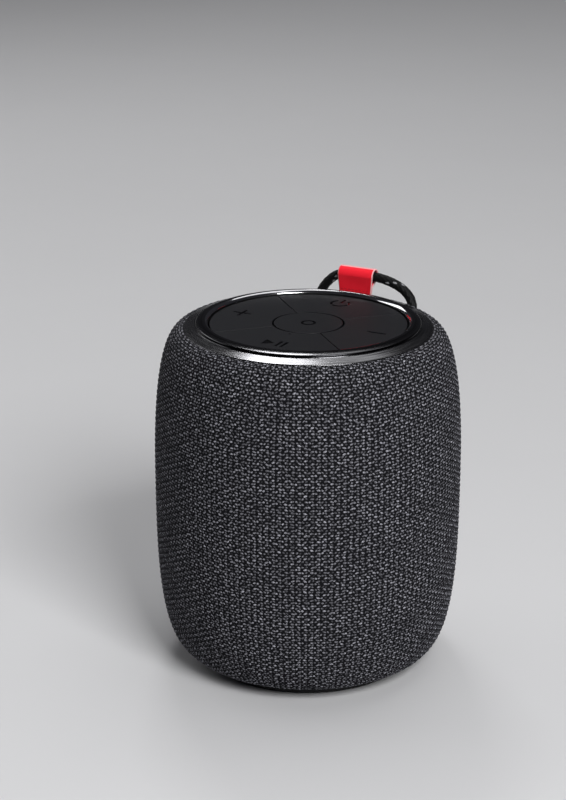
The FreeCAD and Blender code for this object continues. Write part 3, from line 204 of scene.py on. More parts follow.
class Finish:
    """A procedural material and short ways to add nodes to it."""

    def __init__(self, name):
        self.material = bpy.data.materials.new(name)
        self.material.use_nodes = True
        self.tree = self.material.node_tree
        self.shader = self.tree.nodes["Principled BSDF"]

    def add(self, kind, **settings):
        node = self.tree.nodes.new(kind)
        for name, value in settings.items():
            setattr(node, name, value)
        return node

    def feed(self, socket, value):
        if isinstance(value, bpy.types.NodeSocket):
            self.tree.links.new(value, socket)
        else:
            socket.default_value = value

    def math(self, operation, *values):
        node = self.add("ShaderNodeMath", operation=operation)
        for socket, value in zip(node.inputs, values):
            self.feed(socket, value)
        return node.outputs[0]

    def smooth(self, value, low, high):
        """0 below low and 1 above high, with a soft step between."""
        node = self.add("ShaderNodeMapRange", interpolation_type="SMOOTHSTEP")
        for socket, given in zip(node.inputs, (value, low, high)):
            self.feed(socket, given)
        return node.outputs[0]

    def coordinates(self, kind="Object"):
        return self.add("ShaderNodeTexCoord").outputs[kind]

    def scaled(self, vector, scale):
        node = self.add("ShaderNodeMapping")
        self.feed(node.inputs["Vector"], vector)
        node.inputs["Scale"].default_value = scale
        return node.outputs[0]

    def parts(self, vector):
        node = self.add("ShaderNodeSeparateXYZ")
        self.feed(node.inputs[0], vector)
        return node.outputs

    def vector(self, *values):
        node = self.add("ShaderNodeCombineXYZ")
        for socket, value in zip(node.inputs, values):
            self.feed(socket, value)
        return node.outputs[0]

    def noise(self, vector, scale, detail=4.0, roughness=0.6):
        node = self.add("ShaderNodeTexNoise")
        self.feed(node.inputs["Vector"], vector)
        node.inputs["Scale"].default_value = scale
        node.inputs["Detail"].default_value = detail
        node.inputs["Roughness"].default_value = roughness
        return node.outputs[0]

    def blend(self, share, first, second):
        """Colour between two colours; each is a socket or three numbers."""
        node = self.add("ShaderNodeMix", data_type="RGBA")
        self.feed(node.inputs["Factor"], share)
        for name, colour in (("A", first), ("B", second)):
            socket = next(s for s in node.inputs if s.name == name and s.type == "RGBA")
            self.feed(socket, colour if isinstance(colour, bpy.types.NodeSocket) else (*colour, 1.0))
        return next(s for s in node.outputs if s.type == "RGBA")

    def bump(self, height, distance, strength=1.0):
        node = self.add("ShaderNodeBump")
        node.inputs["Strength"].default_value = strength
        node.inputs["Distance"].default_value = distance
        self.feed(node.inputs["Height"], height)
        return node.outputs[0]

    def surface(self, **values):
        """The material, once its shader's inputs are set or linked by their short names."""
        for name, value in values.items():
            self.feed(self.shader.inputs[SHADER_INPUTS[name]], value)
        return self.material


def shades(colour, variation):
    """The colour darkened and lightened by the same share."""
    dark = [channel * (1.0 - variation) for channel in colour]
    light = [channel * (1.0 + variation) for channel in colour]
    return dark, light


def grained(name, colour, roughness, grain=2500.0, depth=0.00002, variation=0.15, spread=0.08, **values):
    """Moulded or cast surface: fine grain, slight unevenness of colour and of gloss."""
    finish = Finish(name)
    where = finish.coordinates()
    fine = finish.noise(where, grain, 3.0)
    broad = finish.noise(where, 90.0, 5.0)
    dark, light = shades(colour, variation)
    gloss = finish.math("MULTIPLY_ADD", broad, 2 * spread, roughness - spread)
    return finish.surface(colour=finish.blend(broad, dark, light), roughness=gloss,
                          normal=finish.bump(fine, depth), **values)


def brushed(name, colour, roughness, stretch):
    """Metal with fine parallel marks, long along the axis where stretch is small."""
    finish = Finish(name)
    marks = finish.noise(finish.scaled(finish.coordinates(), stretch), 1.0, 4.0, 0.7)
    dark, light = shades(colour, 0.2)
    gloss = finish.math("MULTIPLY_ADD", marks, 0.25, roughness - 0.12)
    return finish.surface(colour=finish.blend(marks, dark, light), metallic=1.0, roughness=gloss,
                          normal=finish.bump(marks, 0.00002))


# ---------------------------------------------------------------- mesh helpers
def mesh_object(name, points, faces, materials, face_materials=None, uvs=None):
    """Smooth mesh piece; uvs holds one (u, v) for each corner of each face."""
    mesh = bpy.data.meshes.new(name)
    mesh.from_pydata(points, [], faces)
    for material in materials:
        mesh.materials.append(material)
    if face_materials is not None:
        mesh.polygons.foreach_set("material_index", face_materials)
    mesh.polygons.foreach_set("use_smooth", [True] * len(faces))
    if uvs is not None:
        layer = mesh.uv_layers.new(name="OFBake")
        layer.data.foreach_set("uv", [value for corner in uvs for value in corner])
    mesh.update()
    piece = bpy.data.objects.new(name, mesh)
    bpy.context.scene.collection.objects.link(piece)
    return piece


def along(points, step):
    """Points at even distances along a line, with its ends."""
    lengths = [0.0]
    for start, end in zip(points, points[1:]):
        lengths.append(lengths[-1] + (end - start).length)
    count = max(2, round(lengths[-1] / step))
    result = []
    place = 0
    for number in range(count + 1):
        target = lengths[-1] * number / count
        while place < len(points) - 2 and lengths[place + 1] < target:
            place += 1
        share = (target - lengths[place]) / max(lengths[place + 1] - lengths[place], 1e-12)
        result.append(points[place].lerp(points[place + 1], min(share, 1.0)))
    return result


def grid_faces(rows, columns, closed_columns=False):
    """Quads of a grid of points stored row by row; each is ((row, column), corner indices)."""
    quads = []
    spans = columns if closed_columns else columns - 1
    for row in range(rows - 1):
        for column in range(spans):
            after = (column + 1) % columns
            quads.append(((row, column), (row * columns + column, row * columns + after,
                                          (row + 1) * columns + after, (row + 1) * columns + column)))
    return quads


# ---------------------------------------------------------------- camera
camera_data = bpy.data.cameras.new("camera")
camera_data.lens = CAMERA_LENS
camera = bpy.data.objects.new("camera", camera_data)
camera.location = CAMERA_PLACE
camera.rotation_euler = (math.radians(CAMERA_TILT), 0.0, math.radians(CAMERA_HEADING))
bpy.context.scene.collection.objects.link(camera)
bpy.context.scene.camera = camera


# ---------------------------------------------------------------- lanyard cord
def yarn(name, colour, sheen):
    """Spun polyester strand with fine fibres along it."""
    finish = Finish(name)
    where = finish.coordinates()
    fibres = finish.noise(where, 5200.0, 3.0, 0.7)
    dark = [channel * 0.55 for channel in colour]
    light = [min(channel * 1.5, 1.0) for channel in colour]
    return finish.surface(colour=finish.blend(fibres, dark, light), roughness=0.5, specular=0.14, sheen=sheen,
                          sheen_roughness=0.4, normal=finish.bump(fibres, 0.00004))


def route_points(route):
    """Fine points of the smooth line that has the route as its control points."""
    curve = bpy.data.curves.new("route", "CURVE")
    curve.dimensions = "3D"
    curve.resolution_u = 40
    spline = curve.splines.new("NURBS")
    spline.points.add(len(route) - 1)
    for point, place in zip(spline.points, route):
        point.co = (*place, 1.0)
    spline.order_u = 3
    spline.use_endpoint_u = True
    carrier = bpy.data.objects.new("route", curve)
    bpy.context.scene.collection.objects.link(carrier)
    bpy.context.view_layer.update()
    mesh = bpy.data.meshes.new_from_object(carrier)
    points = [vertex.co.copy() for vertex in mesh.vertices]
    bpy.data.objects.remove(carrier)
    bpy.data.curves.remove(curve)
    bpy.data.meshes.remove(mesh)
    return points


def braid_height(across, lengthwise):
    """Height from 0 to 1, and whether the strand on top is one of the light tracer floats."""
    first = across + lengthwise
    second = across - lengthwise
    cell = (math.floor(first), math.floor(second))
    first_share = first - cell[0]
    second_share = second - cell[1]
    first_on_top = (cell[0] + cell[1]) % 2 == 0
    width_share, length_share = (first_share, second_share) if first_on_top else (second_share, first_share)
    crown = 1.0 - (2.0 * width_share - 1.0) ** 2
    lift = math.sin(math.pi * length_share)
    tracer = (first_on_top and cell[0] % BRAID_STRANDS == 0
              and abs(width_share - 0.5) < TRACER_HALF_WIDTH
              and abs(length_share - 0.5) < TRACER_HALF_LENGTH)
    return crown ** 0.6 * (0.35 + 0.65 * lift), tracer


def heading_at(line, number):
    """Direction of the line at one of its points."""
    return (line[min(number + 1, len(line) - 1)] - line[max(number - 1, 0)]).normalized()


def braided_cord():
    """Tube whose surface rises over each strand of the braid, with the line down its middle."""
    line = along(route_points(CORD_ROUTE), BRAID_STEP)
    side = heading_at(line, 0).cross(Vector((0.0, 1.0, 0.0))).normalized()
    points = []
    tracers = []
    travelled = 0.0
    for number, place in enumerate(line):
        heading = heading_at(line, number)
        if number:
            travelled += (place - line[number - 1]).length
        side = (side - heading * side.dot(heading)).normalized()
        other = heading.cross(side)
        for spoke in range(BRAID_AROUND):
            share = spoke / BRAID_AROUND
            height, tracer = braid_height(share * BRAID_STRANDS, travelled / BRAID_PITCH / 2)
            radius = CORD_DIAMETER / 2 - BRAID_RELIEF * (1.0 - height)
            angle = 2 * math.pi * share
            points.append(place + (side * math.cos(angle) + other * math.sin(angle)) * radius)
            tracers.append(tracer)
    quads = grid_faces(len(line), BRAID_AROUND, closed_columns=True)
    faces = [corners for _, corners in quads]
    marks = [int(sum(tracers[corner] for corner in corners) > 2) for corners in faces]
    last = (len(line) - 1) * BRAID_AROUND
    faces.append(tuple(reversed(range(BRAID_AROUND))))
    faces.append(tuple(range(last, last + BRAID_AROUND)))
    marks += [0, 0]
    black = yarn("cord_braid", (0.0045, 0.0045, 0.005), 0.03)
    grey = yarn("cord_tracer", (0.22, 0.22, 0.23), 0.08)
    piece = mesh_object("lanyard_cord_braid", points, faces, [black, grey], marks)
    return piece, line


cord_piece, cord_line = braided_cord()


# ---------------------------------------------------------------- folded tag
def tag_line():
    """Middle of the webbing: up the straight front ply, over the cord and down the rear ply to the hem."""
    half = TAG_HALF_DEPTH
    slope = (half + TAG_HEM) / (TAG_TURN_HEIGHT - TAG_BOTTOM)
    front = [(TAG_HEM - slope * (height - TAG_BOTTOM), height)
             for height in (TAG_BOTTOM, TAG_JOIN, TAG_SHOULDER)]
    over = []
    for number in range(TAG_TURN_STEPS + 1):
        angle = math.pi * (1.0 - number / TAG_TURN_STEPS)
        over.append((half * math.cos(angle), TAG_TURN_HEIGHT + half * math.sin(angle)))
    joined = front[1][0] + TAG_PLY + TAG_PLY_GAP
    rear = []
    for number in range(1, TAG_TURN_STEPS + 1):
        share = number / TAG_TURN_STEPS
        ease = share * share * (3 - 2 * share)
        height = TAG_TURN_HEIGHT - TAG_REAR_START + (TAG_JOIN - TAG_TURN_HEIGHT + TAG_REAR_START) * share
        rear.append((half + (joined - half) * ease, height))
    hem = [(TAG_HEM + TAG_PLY + TAG_PLY_GAP, TAG_BOTTOM)]
    return [Vector((0.0, TAG_PLACE + depth, height)) for depth, height in front + over + rear + hem]


def ribbon(name, dark, light):
    """Fine woven ribbon: weft ribs across, warp lines along, and a pale band along the fold over the cord
    that is a painted highlight.
    """
    finish = Finish(name)
    across, along_ribbon, _ = finish.parts(finish.coordinates("UV"))
    warp = finish.math("SINE", finish.math("MULTIPLY", across, 2 * math.pi * TAG_WARPS))
    weft = finish.math("SINE", finish.math("MULTIPLY", along_ribbon, 2 * math.pi * TAG_WEFTS))
    weave = finish.math("MULTIPLY_ADD", finish.math("MULTIPLY", warp, weft), 0.5, 0.5)
    cloud = finish.noise(finish.coordinates(), 420.0, 5.0)
    share = finish.math("MULTIPLY_ADD", weave, 0.45, finish.math("MULTIPLY", cloud, 0.55))
    # painted highlight: a pale pinkish band across the ribbon where it turns over the cord, standing in for
    # the light caught on the fold's top
    fold_highlight = finish.math("SUBTRACT", finish.smooth(along_ribbon, 0.43, 0.45),
                         finish.smooth(along_ribbon, 0.55, 0.57))
    colour = finish.blend(fold_highlight, finish.blend(share, dark, light), (0.92, 0.42, 0.44))
    return finish.surface(colour=colour, roughness=0.7, specular=0.2, sheen=0.05,
                          sheen_roughness=0.35, normal=finish.bump(weave, 0.00003))


def tag_faces(rows):
    """Faces of the two sides and the four edges of the tag, each with 1 if it is on a cut edge."""
    columns = TAG_COLUMNS
    total = rows * columns
    faces = []
    for (_, column), corners in grid_faces(rows, columns):
        at_edge = int(column in (0, columns - 2))
        faces.append((corners, at_edge))
        faces.append((tuple(reversed([corner + total for corner in corners])), at_edge))
    for row in range(rows - 1):
        for column, turn in ((0, False), (columns - 1, True)):
            low = row * columns + column
            high = low + columns
            corners = (low, high, high + total, low + total)
            faces.append((tuple(reversed(corners)) if turn else corners, 1))
    for row, turn in ((0, False), (rows - 1, True)):
        for column in range(columns - 1):
            low = row * columns + column
            corners = (low, low + 1, low + 1 + total, low + total)
            faces.append((tuple(reversed(corners)) if turn else corners, 1))
    return faces


def folded_tag():
    """Closed ribbon of TAG_PLY thickness that follows tag_line()."""
    middle = along(tag_line(), TAG_STEP)
    columns = TAG_COLUMNS
    rows = len(middle)
    ribbon_red = ribbon("tag_webbing", (0.90, 0.010, 0.024), (1.0, 0.020, 0.042))
    cut_edge = ribbon("tag_cut_edge", (0.72, 0.30, 0.32), (0.90, 0.52, 0.54))
    width = TAG_RIGHT - TAG_LEFT
    sides = []
    for side in (-1, 1):
        for row, place in enumerate(middle):
            outward = Vector((1.0, 0.0, 0.0)).cross(heading_at(middle, row)) * -side
            hang = max(0.0, (TAG_TURN_HEIGHT - place.z) / (TAG_TURN_HEIGHT - TAG_BOTTOM))
            for column in range(columns):
                share = column / (columns - 1)
                narrow = TAG_NARROWING * hang * share
                sway = TAG_SWAY * math.sin(math.pi * share) * math.sin(math.pi * min(hang, 1.0))
                edge = min(share, 1.0 - share) * (columns - 1)
                half_ply = TAG_PLY / 2 * (1.0 if edge >= 1.0 else TAG_EDGE_THINNING)
                point = Vector((TAG_LEFT + width * share - narrow, place.y + sway, place.z))
                sides.append(point + outward * half_ply)
    faces, marks = zip(*tag_faces(rows))
    uvs = []
    for corners in faces:
        for corner in corners:
            row, column = divmod(corner % (rows * columns), columns)
            uvs.append((column / (columns - 1), row / (rows - 1)))
    piece = mesh_object("lanyard_tag_ribbon", sides, faces, [ribbon_red, cut_edge], marks, uvs)
    work = bmesh.new()
    work.from_mesh(piece.data)
    bmesh.ops.recalc_face_normals(work, faces=work.faces)
    work.to_mesh(piece.data)
    work.free()
    return piece


tag_piece = folded_tag()


def tag_stitches():
    """Row of thread floats that joins the two plies under the cord, on both faces of the tag."""
    thread = yarn("tag_thread", (0.42, 0.012, 0.02), 0.2)
    work = bmesh.new()
    pitch = (TAG_RIGHT - TAG_LEFT - STITCH_MARGIN - STITCH_END_MARGIN) / STITCH_COUNT
    size = Vector((pitch * STITCH_SHARE, STITCH_DEPTH, STITCH_WIDTH))
    for face in (-1, 1):
        depth = TAG_PLACE + TAG_HEM + TAG_PLY / 2 + face * (TAG_PLY + STITCH_PROUD)
        for number in range(STITCH_COUNT):
            across = TAG_LEFT + STITCH_MARGIN + pitch * (number + 0.5)
            middle = Vector((across, depth, TAG_BOTTOM + STITCH_ABOVE_HEM))
            made = bmesh.ops.create_uvsphere(work, u_segments=12, v_segments=8, radius=0.5)
            for vertex in made["verts"]:
                vertex.co = vertex.co * size + middle
    mesh = bpy.data.meshes.new("lanyard_tag_stitches")
    work.to_mesh(mesh)
    work.free()
    mesh.materials.append(thread)
    mesh.polygons.foreach_set("use_smooth", [True] * len(mesh.polygons))
    piece = bpy.data.objects.new("lanyard_tag_stitches", mesh)
    bpy.context.scene.collection.objects.link(piece)
    return piece


stitch_piece = tag_stitches()


# ---------------------------------------------------------------- what the lanyard's pieces are
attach(cord_piece, "speaker")
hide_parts("lanyard_cord")
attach(tag_piece, "tag")
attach(stitch_piece, "tag")
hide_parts("lanyard_tag")


# ---------------------------------------------------------------- woven sleeve
def quarter(end, fullness):
    """Outline points from one end of the barrel to its widest height."""
    radius, height = end
    points = []
    for step in range(OUTLINE_STEPS + 1):
        angle = math.pi / 2 * step / OUTLINE_STEPS
        across = math.sin(angle) ** (2 / fullness)
        lengthwise = max(math.cos(angle), 0.0) ** (2 / fullness)
        points.append(Vector((radius + (BODY_RADIUS - radius) * across, 0.0,
                              WIDEST_HEIGHT + (height - WIDEST_HEIGHT) * lengthwise)))
    return points


def sleeve_outline():
    """Outline from the foot to the top opening, with two points for each row of the weave."""
    lower = quarter(SLEEVE_FOOT, LOWER_FULLNESS)
    upper = quarter(SLEEVE_TOP, UPPER_FULLNESS)
    line = lower + upper[-2::-1]
    total = sum((end - start).length for start, end in zip(line, line[1:]))
    return along(line, total / (2 * WEAVE_ROWS))


def port_distance(point):
    """Signed distance across and up from the edge of the rear opening, and the nearest place on that edge."""
    across = point.x
    up = point.z - PORT_HEIGHT
    core_x = max(-(PORT_HALF_WIDTH - PORT_CORNER), min(across, PORT_HALF_WIDTH - PORT_CORNER))
    core_z = max(-(PORT_HALF_TALL - PORT_CORNER), min(up, PORT_HALF_TALL - PORT_CORNER))
    reach = math.hypot(across - core_x, up - core_z)
    if reach < 1e-9:
        return -PORT_CORNER, (across, PORT_HEIGHT + math.copysign(PORT_HALF_TALL, up))
    scale = PORT_CORNER / reach
    return reach - PORT_CORNER, (core_x + (across - core_x) * scale,
                                 PORT_HEIGHT + core_z + (up - core_z) * scale)


def open_port(points, quads):
    """Takes out the quads inside the opening and draws the rest up to its edge."""
    inside = {}
    for number, point in enumerate(points):
        distance, edge = port_distance(point)
        if point.y > REAR_SIDE and distance < 0.0:
            inside[number] = edge
    kept = [quad for quad in quads if any(corner not in inside for corner in quad[1])]
    for number in {corner for _, corners in kept for corner in corners if corner in inside}:
        across, height = inside[number]
        radius = math.hypot(points[number].x, points[number].y)
        points[number] = Vector((across, math.sqrt(radius ** 2 - across ** 2), height))
    return kept


def anchor_axes():
    """Start and direction of the cord at each of its ends."""
    axes = []
    for first, second in ((CORD_ROUTE[0], CORD_ROUTE[1]), (CORD_ROUTE[-1], CORD_ROUTE[-2])):
        axes.append((Vector(first), (Vector(second) - Vector(first)).normalized()))
    return axes


def open_anchor_holes(points, quads):
    """Takes out the quads round the cord's ends and draws the rest almost up to the round edges."""
    axes = anchor_axes()
    inside = set()
    for number, point in enumerate(points):
        if point.y < REAR_SIDE or point.z < SHOULDER_HEIGHT:
            continue
        for start, heading in axes:
            arm = point - start
            arm -= heading * arm.dot(heading)
            if arm.length < ANCHOR_HOLE_RADIUS:
                inside.add(number)
                draw = (ANCHOR_HOLE_RADIUS - arm.length) * ANCHOR_HOLE_DRAW
                points[number] = point + arm.normalized() * draw
    return [quad for quad in quads if any(corner not in inside for corner in quad[1])]


def yarn_floats(finish, across, up, place, half_width, half_tall, tilt):
    """Mask of short slanting floats and the luck of each, from 0 to 1.

    Each repeat of the weave has one, at the given share of its width. Every second row is half a repeat on.
    """
    lengthwise = finish.math("MULTIPLY", up, float(WEAVE_ROWS))
    row = finish.math("FLOOR", lengthwise)
    shift = finish.math("MULTIPLY_ADD", finish.math("MODULO", row, 2.0), 0.5, 0.5 - place)
    sideways = finish.math("MULTIPLY_ADD", across, float(WEAVE_COLUMNS), shift)
    column = finish.math("MODULO", finish.math("FLOOR", sideways), float(WEAVE_COLUMNS))
    chance = finish.add("ShaderNodeTexWhiteNoise", noise_dimensions="3D")
    finish.feed(chance.inputs["Vector"], finish.vector(column, row, place))
    drift, turn, rise = finish.parts(chance.outputs["Color"])
    x = finish.math("SUBTRACT", finish.math("FRACT", sideways), 0.5)
    y = finish.math("SUBTRACT", finish.math("FRACT", lengthwise), 0.5)
    x = finish.math("MULTIPLY_ADD", finish.math("SUBTRACT", drift, 0.5), FLOAT_DRIFT, x)
    y = finish.math("MULTIPLY_ADD", finish.math("SUBTRACT", rise, 0.5), FLOAT_RISE, y)
    slant = finish.math("MULTIPLY", finish.math("SUBTRACT", turn, 0.5), tilt)
    y = finish.math("MULTIPLY_ADD", x, slant, y)
    reach = finish.math("ADD", finish.math("POWER", finish.math("DIVIDE", x, half_width), 2.0),
                        finish.math("POWER", finish.math("DIVIDE", y, half_tall), 2.0))
    mask = finish.math("SUBTRACT", 1.0, finish.smooth(reach, 0.2, 1.0))
    return mask, chance.outputs["Value"]


def weave_finish():
    """Tweed weave: long and short light floats in staggered rows over near-black yarn."""
    finish = Finish("sleeve_fabric")
    across, up, _ = finish.parts(finish.coordinates("UV"))
    where = finish.coordinates()
    fibres = finish.noise(where, 1500.0, 2.0, 0.75)
    flecks = finish.smooth(finish.noise(where, 1150.0, 0.0), 0.40, 0.58)
    heather = finish.noise(where, 420.0, 2.0, 0.5)
    gain = 0.0
    for place, half_width, half_tall, tilt, least, most in WEAVE_FLOATS:
        mask, luck = yarn_floats(finish, across, up, place, half_width, half_tall, tilt)
        strength = finish.math("MULTIPLY_ADD", luck, most - least, least)
        gain = finish.math("MAXIMUM", gain, finish.math("MULTIPLY", mask, strength))
    relief = finish.math("MULTIPLY_ADD", fibres, 0.6, gain)
    for pattern, share, least in ((finish.smooth(fibres, 0.36, 0.62), 0.65, 0.35), (flecks, 0.6, 0.4),
                                  (heather, 0.3, 0.85)):
        gain = finish.math("MULTIPLY", gain, finish.math("MULTIPLY_ADD", pattern, share, least))
    under = finish.blend(fibres, (0.0012, 0.0012, 0.0016), (0.0120, 0.0120, 0.0145))
    colour = finish.blend(finish.math("MINIMUM", gain, 1.0), under, FLOAT_COLOUR)
    return finish.surface(colour=colour, roughness=0.95, specular=0.06,
                          normal=finish.bump(relief, WEAVE_RELIEF, 0.8))


def woven_sleeve():
    """Sleeve that stands out at each float, with two rows and WEAVE_STEPS columns of points per repeat."""
    random.seed(7)
    outline = sleeve_outline()
    columns = WEAVE_STEPS * WEAVE_COLUMNS
    rows = len(outline)
    points = []
    for number, place in enumerate(outline):
        before = outline[max(number - 1, 0)]
        after = outline[min(number + 1, rows - 1)]
        slope = (after - before).normalized()
        normal = Vector((slope.z, 0.0, -slope.x))
        crest_row = number % 2 == 1
        half_repeat = (number // 2) % 2 * WEAVE_STEPS // 2
        fade = min(1.0, number / WEAVE_FADE_ROWS, (rows - 1 - number) / WEAVE_FADE_ROWS)
        for column in range(columns):
            crown = -1.0
            if crest_row:
                crown = WEAVE_SWELL[(column + half_repeat) % WEAVE_STEPS] * random.uniform(*WEAVE_UNEVENNESS)
            spot = place + normal * (WEAVE_RELIEF * crown * fade)
            angle = 2 * math.pi * column / columns
            points.append(Vector((spot.x * math.sin(angle), -spot.x * math.cos(angle), spot.z)))
    quads = grid_faces(rows, columns, closed_columns=True)
    quads = open_port(points, quads)
    quads = open_anchor_holes(points, quads)
    uvs = []
    for (row, column), _ in quads:
        left, right = column / columns, (column + 1) / columns
        low, high = row / (rows - 1), (row + 1) / (rows - 1)
        uvs += [(left, low), (right, low), (right, high), (left, high)]
    faces = [corners for _, corners in quads]
    piece = mesh_object("fabric_sleeve_weave", points, faces, [weave_finish()], uvs=uvs)
    work = bmesh.new()
    work.from_mesh(piece.data)
    loose = [vertex for vertex in work.verts if not vertex.link_faces]
    bmesh.ops.delete(work, geom=loose, context="VERTS")
    rim = [edge for edge in work.edges if edge.is_boundary]
    turned = bmesh.ops.extrude_edge_only(work, edges=rim)["geom"]
    for vertex in (item for item in turned if isinstance(item, bmesh.types.BMVert)):
        inward = Vector((vertex.co.x, vertex.co.y, 0.0)).normalized()
        vertex.co -= inward * SLEEVE_TURN_IN
    bmesh.ops.recalc_face_normals(work, faces=work.faces)
    work.to_mesh(piece.data)
    work.free()
    return piece


sleeve_piece = woven_sleeve()
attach(sleeve_piece, "speaker")
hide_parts("fabric_sleeve")


# ---------------------------------------------------------------- finishes of the hard parts
def trim_ring_finish():
    """Dark chrome: dull wall of the bore darkened as painted shade, polished lip, crown with turned rings,
    brushed bevel.
    """
    finish = Finish("trim_ring")
    x, y, z = finish.parts(finish.coordinates())
    radius = finish.math("SQRT", finish.math("MULTIPLY_ADD", x, x, finish.math("MULTIPLY", y, y)))
    angle = finish.math("ARCTAN2", y, x)
    lathe = finish.vector(finish.math("MULTIPLY", radius, 2800.0), finish.math("MULTIPLY", angle, 3.0),
                          finish.math("MULTIPLY", z, 1000.0))
    marks = finish.noise(lathe, 1.0, 2.0, 0.6)
    rings = finish.noise(finish.vector(finish.math("MULTIPLY", radius, 1150.0), 0.0, 0.0), 1.0, 1.0, 0.5)
    wear = finish.noise(finish.coordinates(), 160.0, 5.0)

    wall_top = RING_TOP - LIP_ROUND
    # mask of the bore wall below the lip: it gets a rougher finish, and its colour is darkened as painted
    # shade
    wall = finish.math("MULTIPLY",
                       finish.smooth(radius, RING_BORE + 2 * ZONE_BLUR, RING_BORE + ZONE_BLUR),
                       finish.smooth(z, wall_top, wall_top - ZONE_BLUR))
    past_lip = finish.smooth(radius, RING_BORE + LIP_ROUND * 0.8, RING_BORE + LIP_ROUND * 1.3)
    bevel = finish.smooth(radius, BEVEL_RADIUS, BEVEL_RADIUS + 4 * ZONE_BLUR)
    crown = finish.math("SUBTRACT", past_lip, bevel)
    bevel_marks = finish.math("MULTIPLY", marks, bevel)

    rough = 0.08
    for zone, more in ((bevel, 0.06), (crown, 0.07), (wall, 0.35), (bevel_marks, 0.12), (wear, 0.04)):
        rough = finish.math("MULTIPLY_ADD", zone, more, rough)
    # painted shade: the bore wall is near black beside the bright polished lip, standing in for the shade
    # inside the bore
    lip_and_shaded_wall = finish.blend(wall, (0.55, 0.55, 0.57), (0.05, 0.05, 0.052))
    turned = finish.blend(finish.smooth(rings, 0.42, 0.60), (0.018, 0.018, 0.020), (0.13, 0.13, 0.137))
    brushed_share = finish.math("MULTIPLY", finish.smooth(marks, 0.25, 0.75), bevel)
    brushed_bevel = finish.blend(brushed_share, (0.085, 0.085, 0.09), (0.24, 0.24, 0.25))
    colour = finish.blend(bevel, finish.blend(crown, lip_and_shaded_wall, turned), brushed_bevel)
    height = finish.math("MULTIPLY_ADD", finish.math("MULTIPLY", rings, past_lip), 3.0, bevel_marks)
    return finish.surface(colour=colour, metallic=1.0, roughness=rough, normal=finish.bump(height, 0.000005))


def arc_through(start, middle, end, steps):
    """Points of the circle arc from start to end through middle, all (radius, height) pairs."""
    (ax, ay), (bx, by), (cx, cy) = start, middle, end
    twice = 2 * (ax * (by - cy) + bx * (cy - ay) + cx * (ay - by))
    squares = [px * px + py * py for px, py in (start, middle, end)]
    ox = (squares[0] * (by - cy) + squares[1] * (cy - ay) + squares[2] * (ay - by)) / twice
    oy = (squares[0] * (cx - bx) + squares[1] * (ax - cx) + squares[2] * (bx - ax)) / twice
    radius = math.hypot(ax - ox, ay - oy)
    first = math.atan2(ay - oy, ax - ox)
    sweep = math.atan2(cy - oy, cx - ox) - first
    sweep = (sweep + math.pi) % (2 * math.pi) - math.pi
    return [(ox + radius * math.cos(first + sweep * step / steps),
             oy + radius * math.sin(first + sweep * step / steps)) for step in range(steps + 1)]


def trim_ring():
    """Turned ring with the section of its solid and closely spaced points, so that it reflects smoothly."""
    seat = RING_EDGE[0][1]
    lip_start = (RING_BORE + LIP_ROUND, RING_TOP)
    lip_middle = (RING_BORE + LIP_BULGE, RING_TOP - LIP_BULGE)
    lip_end = (RING_BORE, RING_TOP - LIP_ROUND)
    section = [
        [(RING_LEDGE, RING_BOTTOM), (RING_SKIRT, RING_BOTTOM)],
        [(RING_SKIRT, RING_BOTTOM), (RING_SKIRT, seat)],
        [(RING_SKIRT, seat), RING_EDGE[0]],
        arc_through(*RING_EDGE, EDGE_ARC_STEPS),
        [RING_EDGE[-1], RING_BEVEL_END[0]],
        arc_through(*RING_BEVEL_END, EDGE_ARC_STEPS),
        [RING_BEVEL_END[-1], RING_GROOVE],
        [RING_GROOVE, RING_CROWN_START[0]],
        arc_through(*RING_CROWN_START, EDGE_ARC_STEPS),
        arc_through(RING_CROWN_START[-1], RING_CROWN_MIDDLE, lip_start, CROWN_ARC_STEPS),
        arc_through(lip_start, lip_middle, lip_end, LIP_ARC_STEPS),
        [lip_end, (RING_BORE, RING_LEDGE_TOP)],
        [(RING_BORE, RING_LEDGE_TOP), (RING_LEDGE, RING_LEDGE_TOP)],
        [(RING_LEDGE, RING_LEDGE_TOP), (RING_LEDGE, RING_BOTTOM)],
    ]
    outline = []
    for run in section:
        if len(run) == 2:
            start, end = Vector(run[0]), Vector(run[1])
            near = min(EDGE_SOFTNESS / (end - start).length, 0.3)
            run = [tuple(start.lerp(end, share)) for share in (near, 0.5, 1.0 - near)]
        outline += [point for point in run if not outline or math.dist(point, outline[-1]) > SAME_POINT]
    points = []
    for radius, height in outline:
        for column in range(RING_COLUMNS):
            angle = 2 * math.pi * column / RING_COLUMNS
            points.append(Vector((radius * math.cos(angle), radius * math.sin(angle), height)))
    faces = [corners for _, corners in grid_faces(len(outline), RING_COLUMNS, closed_columns=True)]
    last = (len(outline) - 1) * RING_COLUMNS
    faces += [(last + column, last + (column + 1) % RING_COLUMNS, (column + 1) % RING_COLUMNS, column)
              for column in range(RING_COLUMNS)]
    piece = mesh_object("top_trim_ring_turned", points, faces, [FINISHES["trim_ring"]])
    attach(piece, "speaker")
    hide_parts("top_trim_ring")


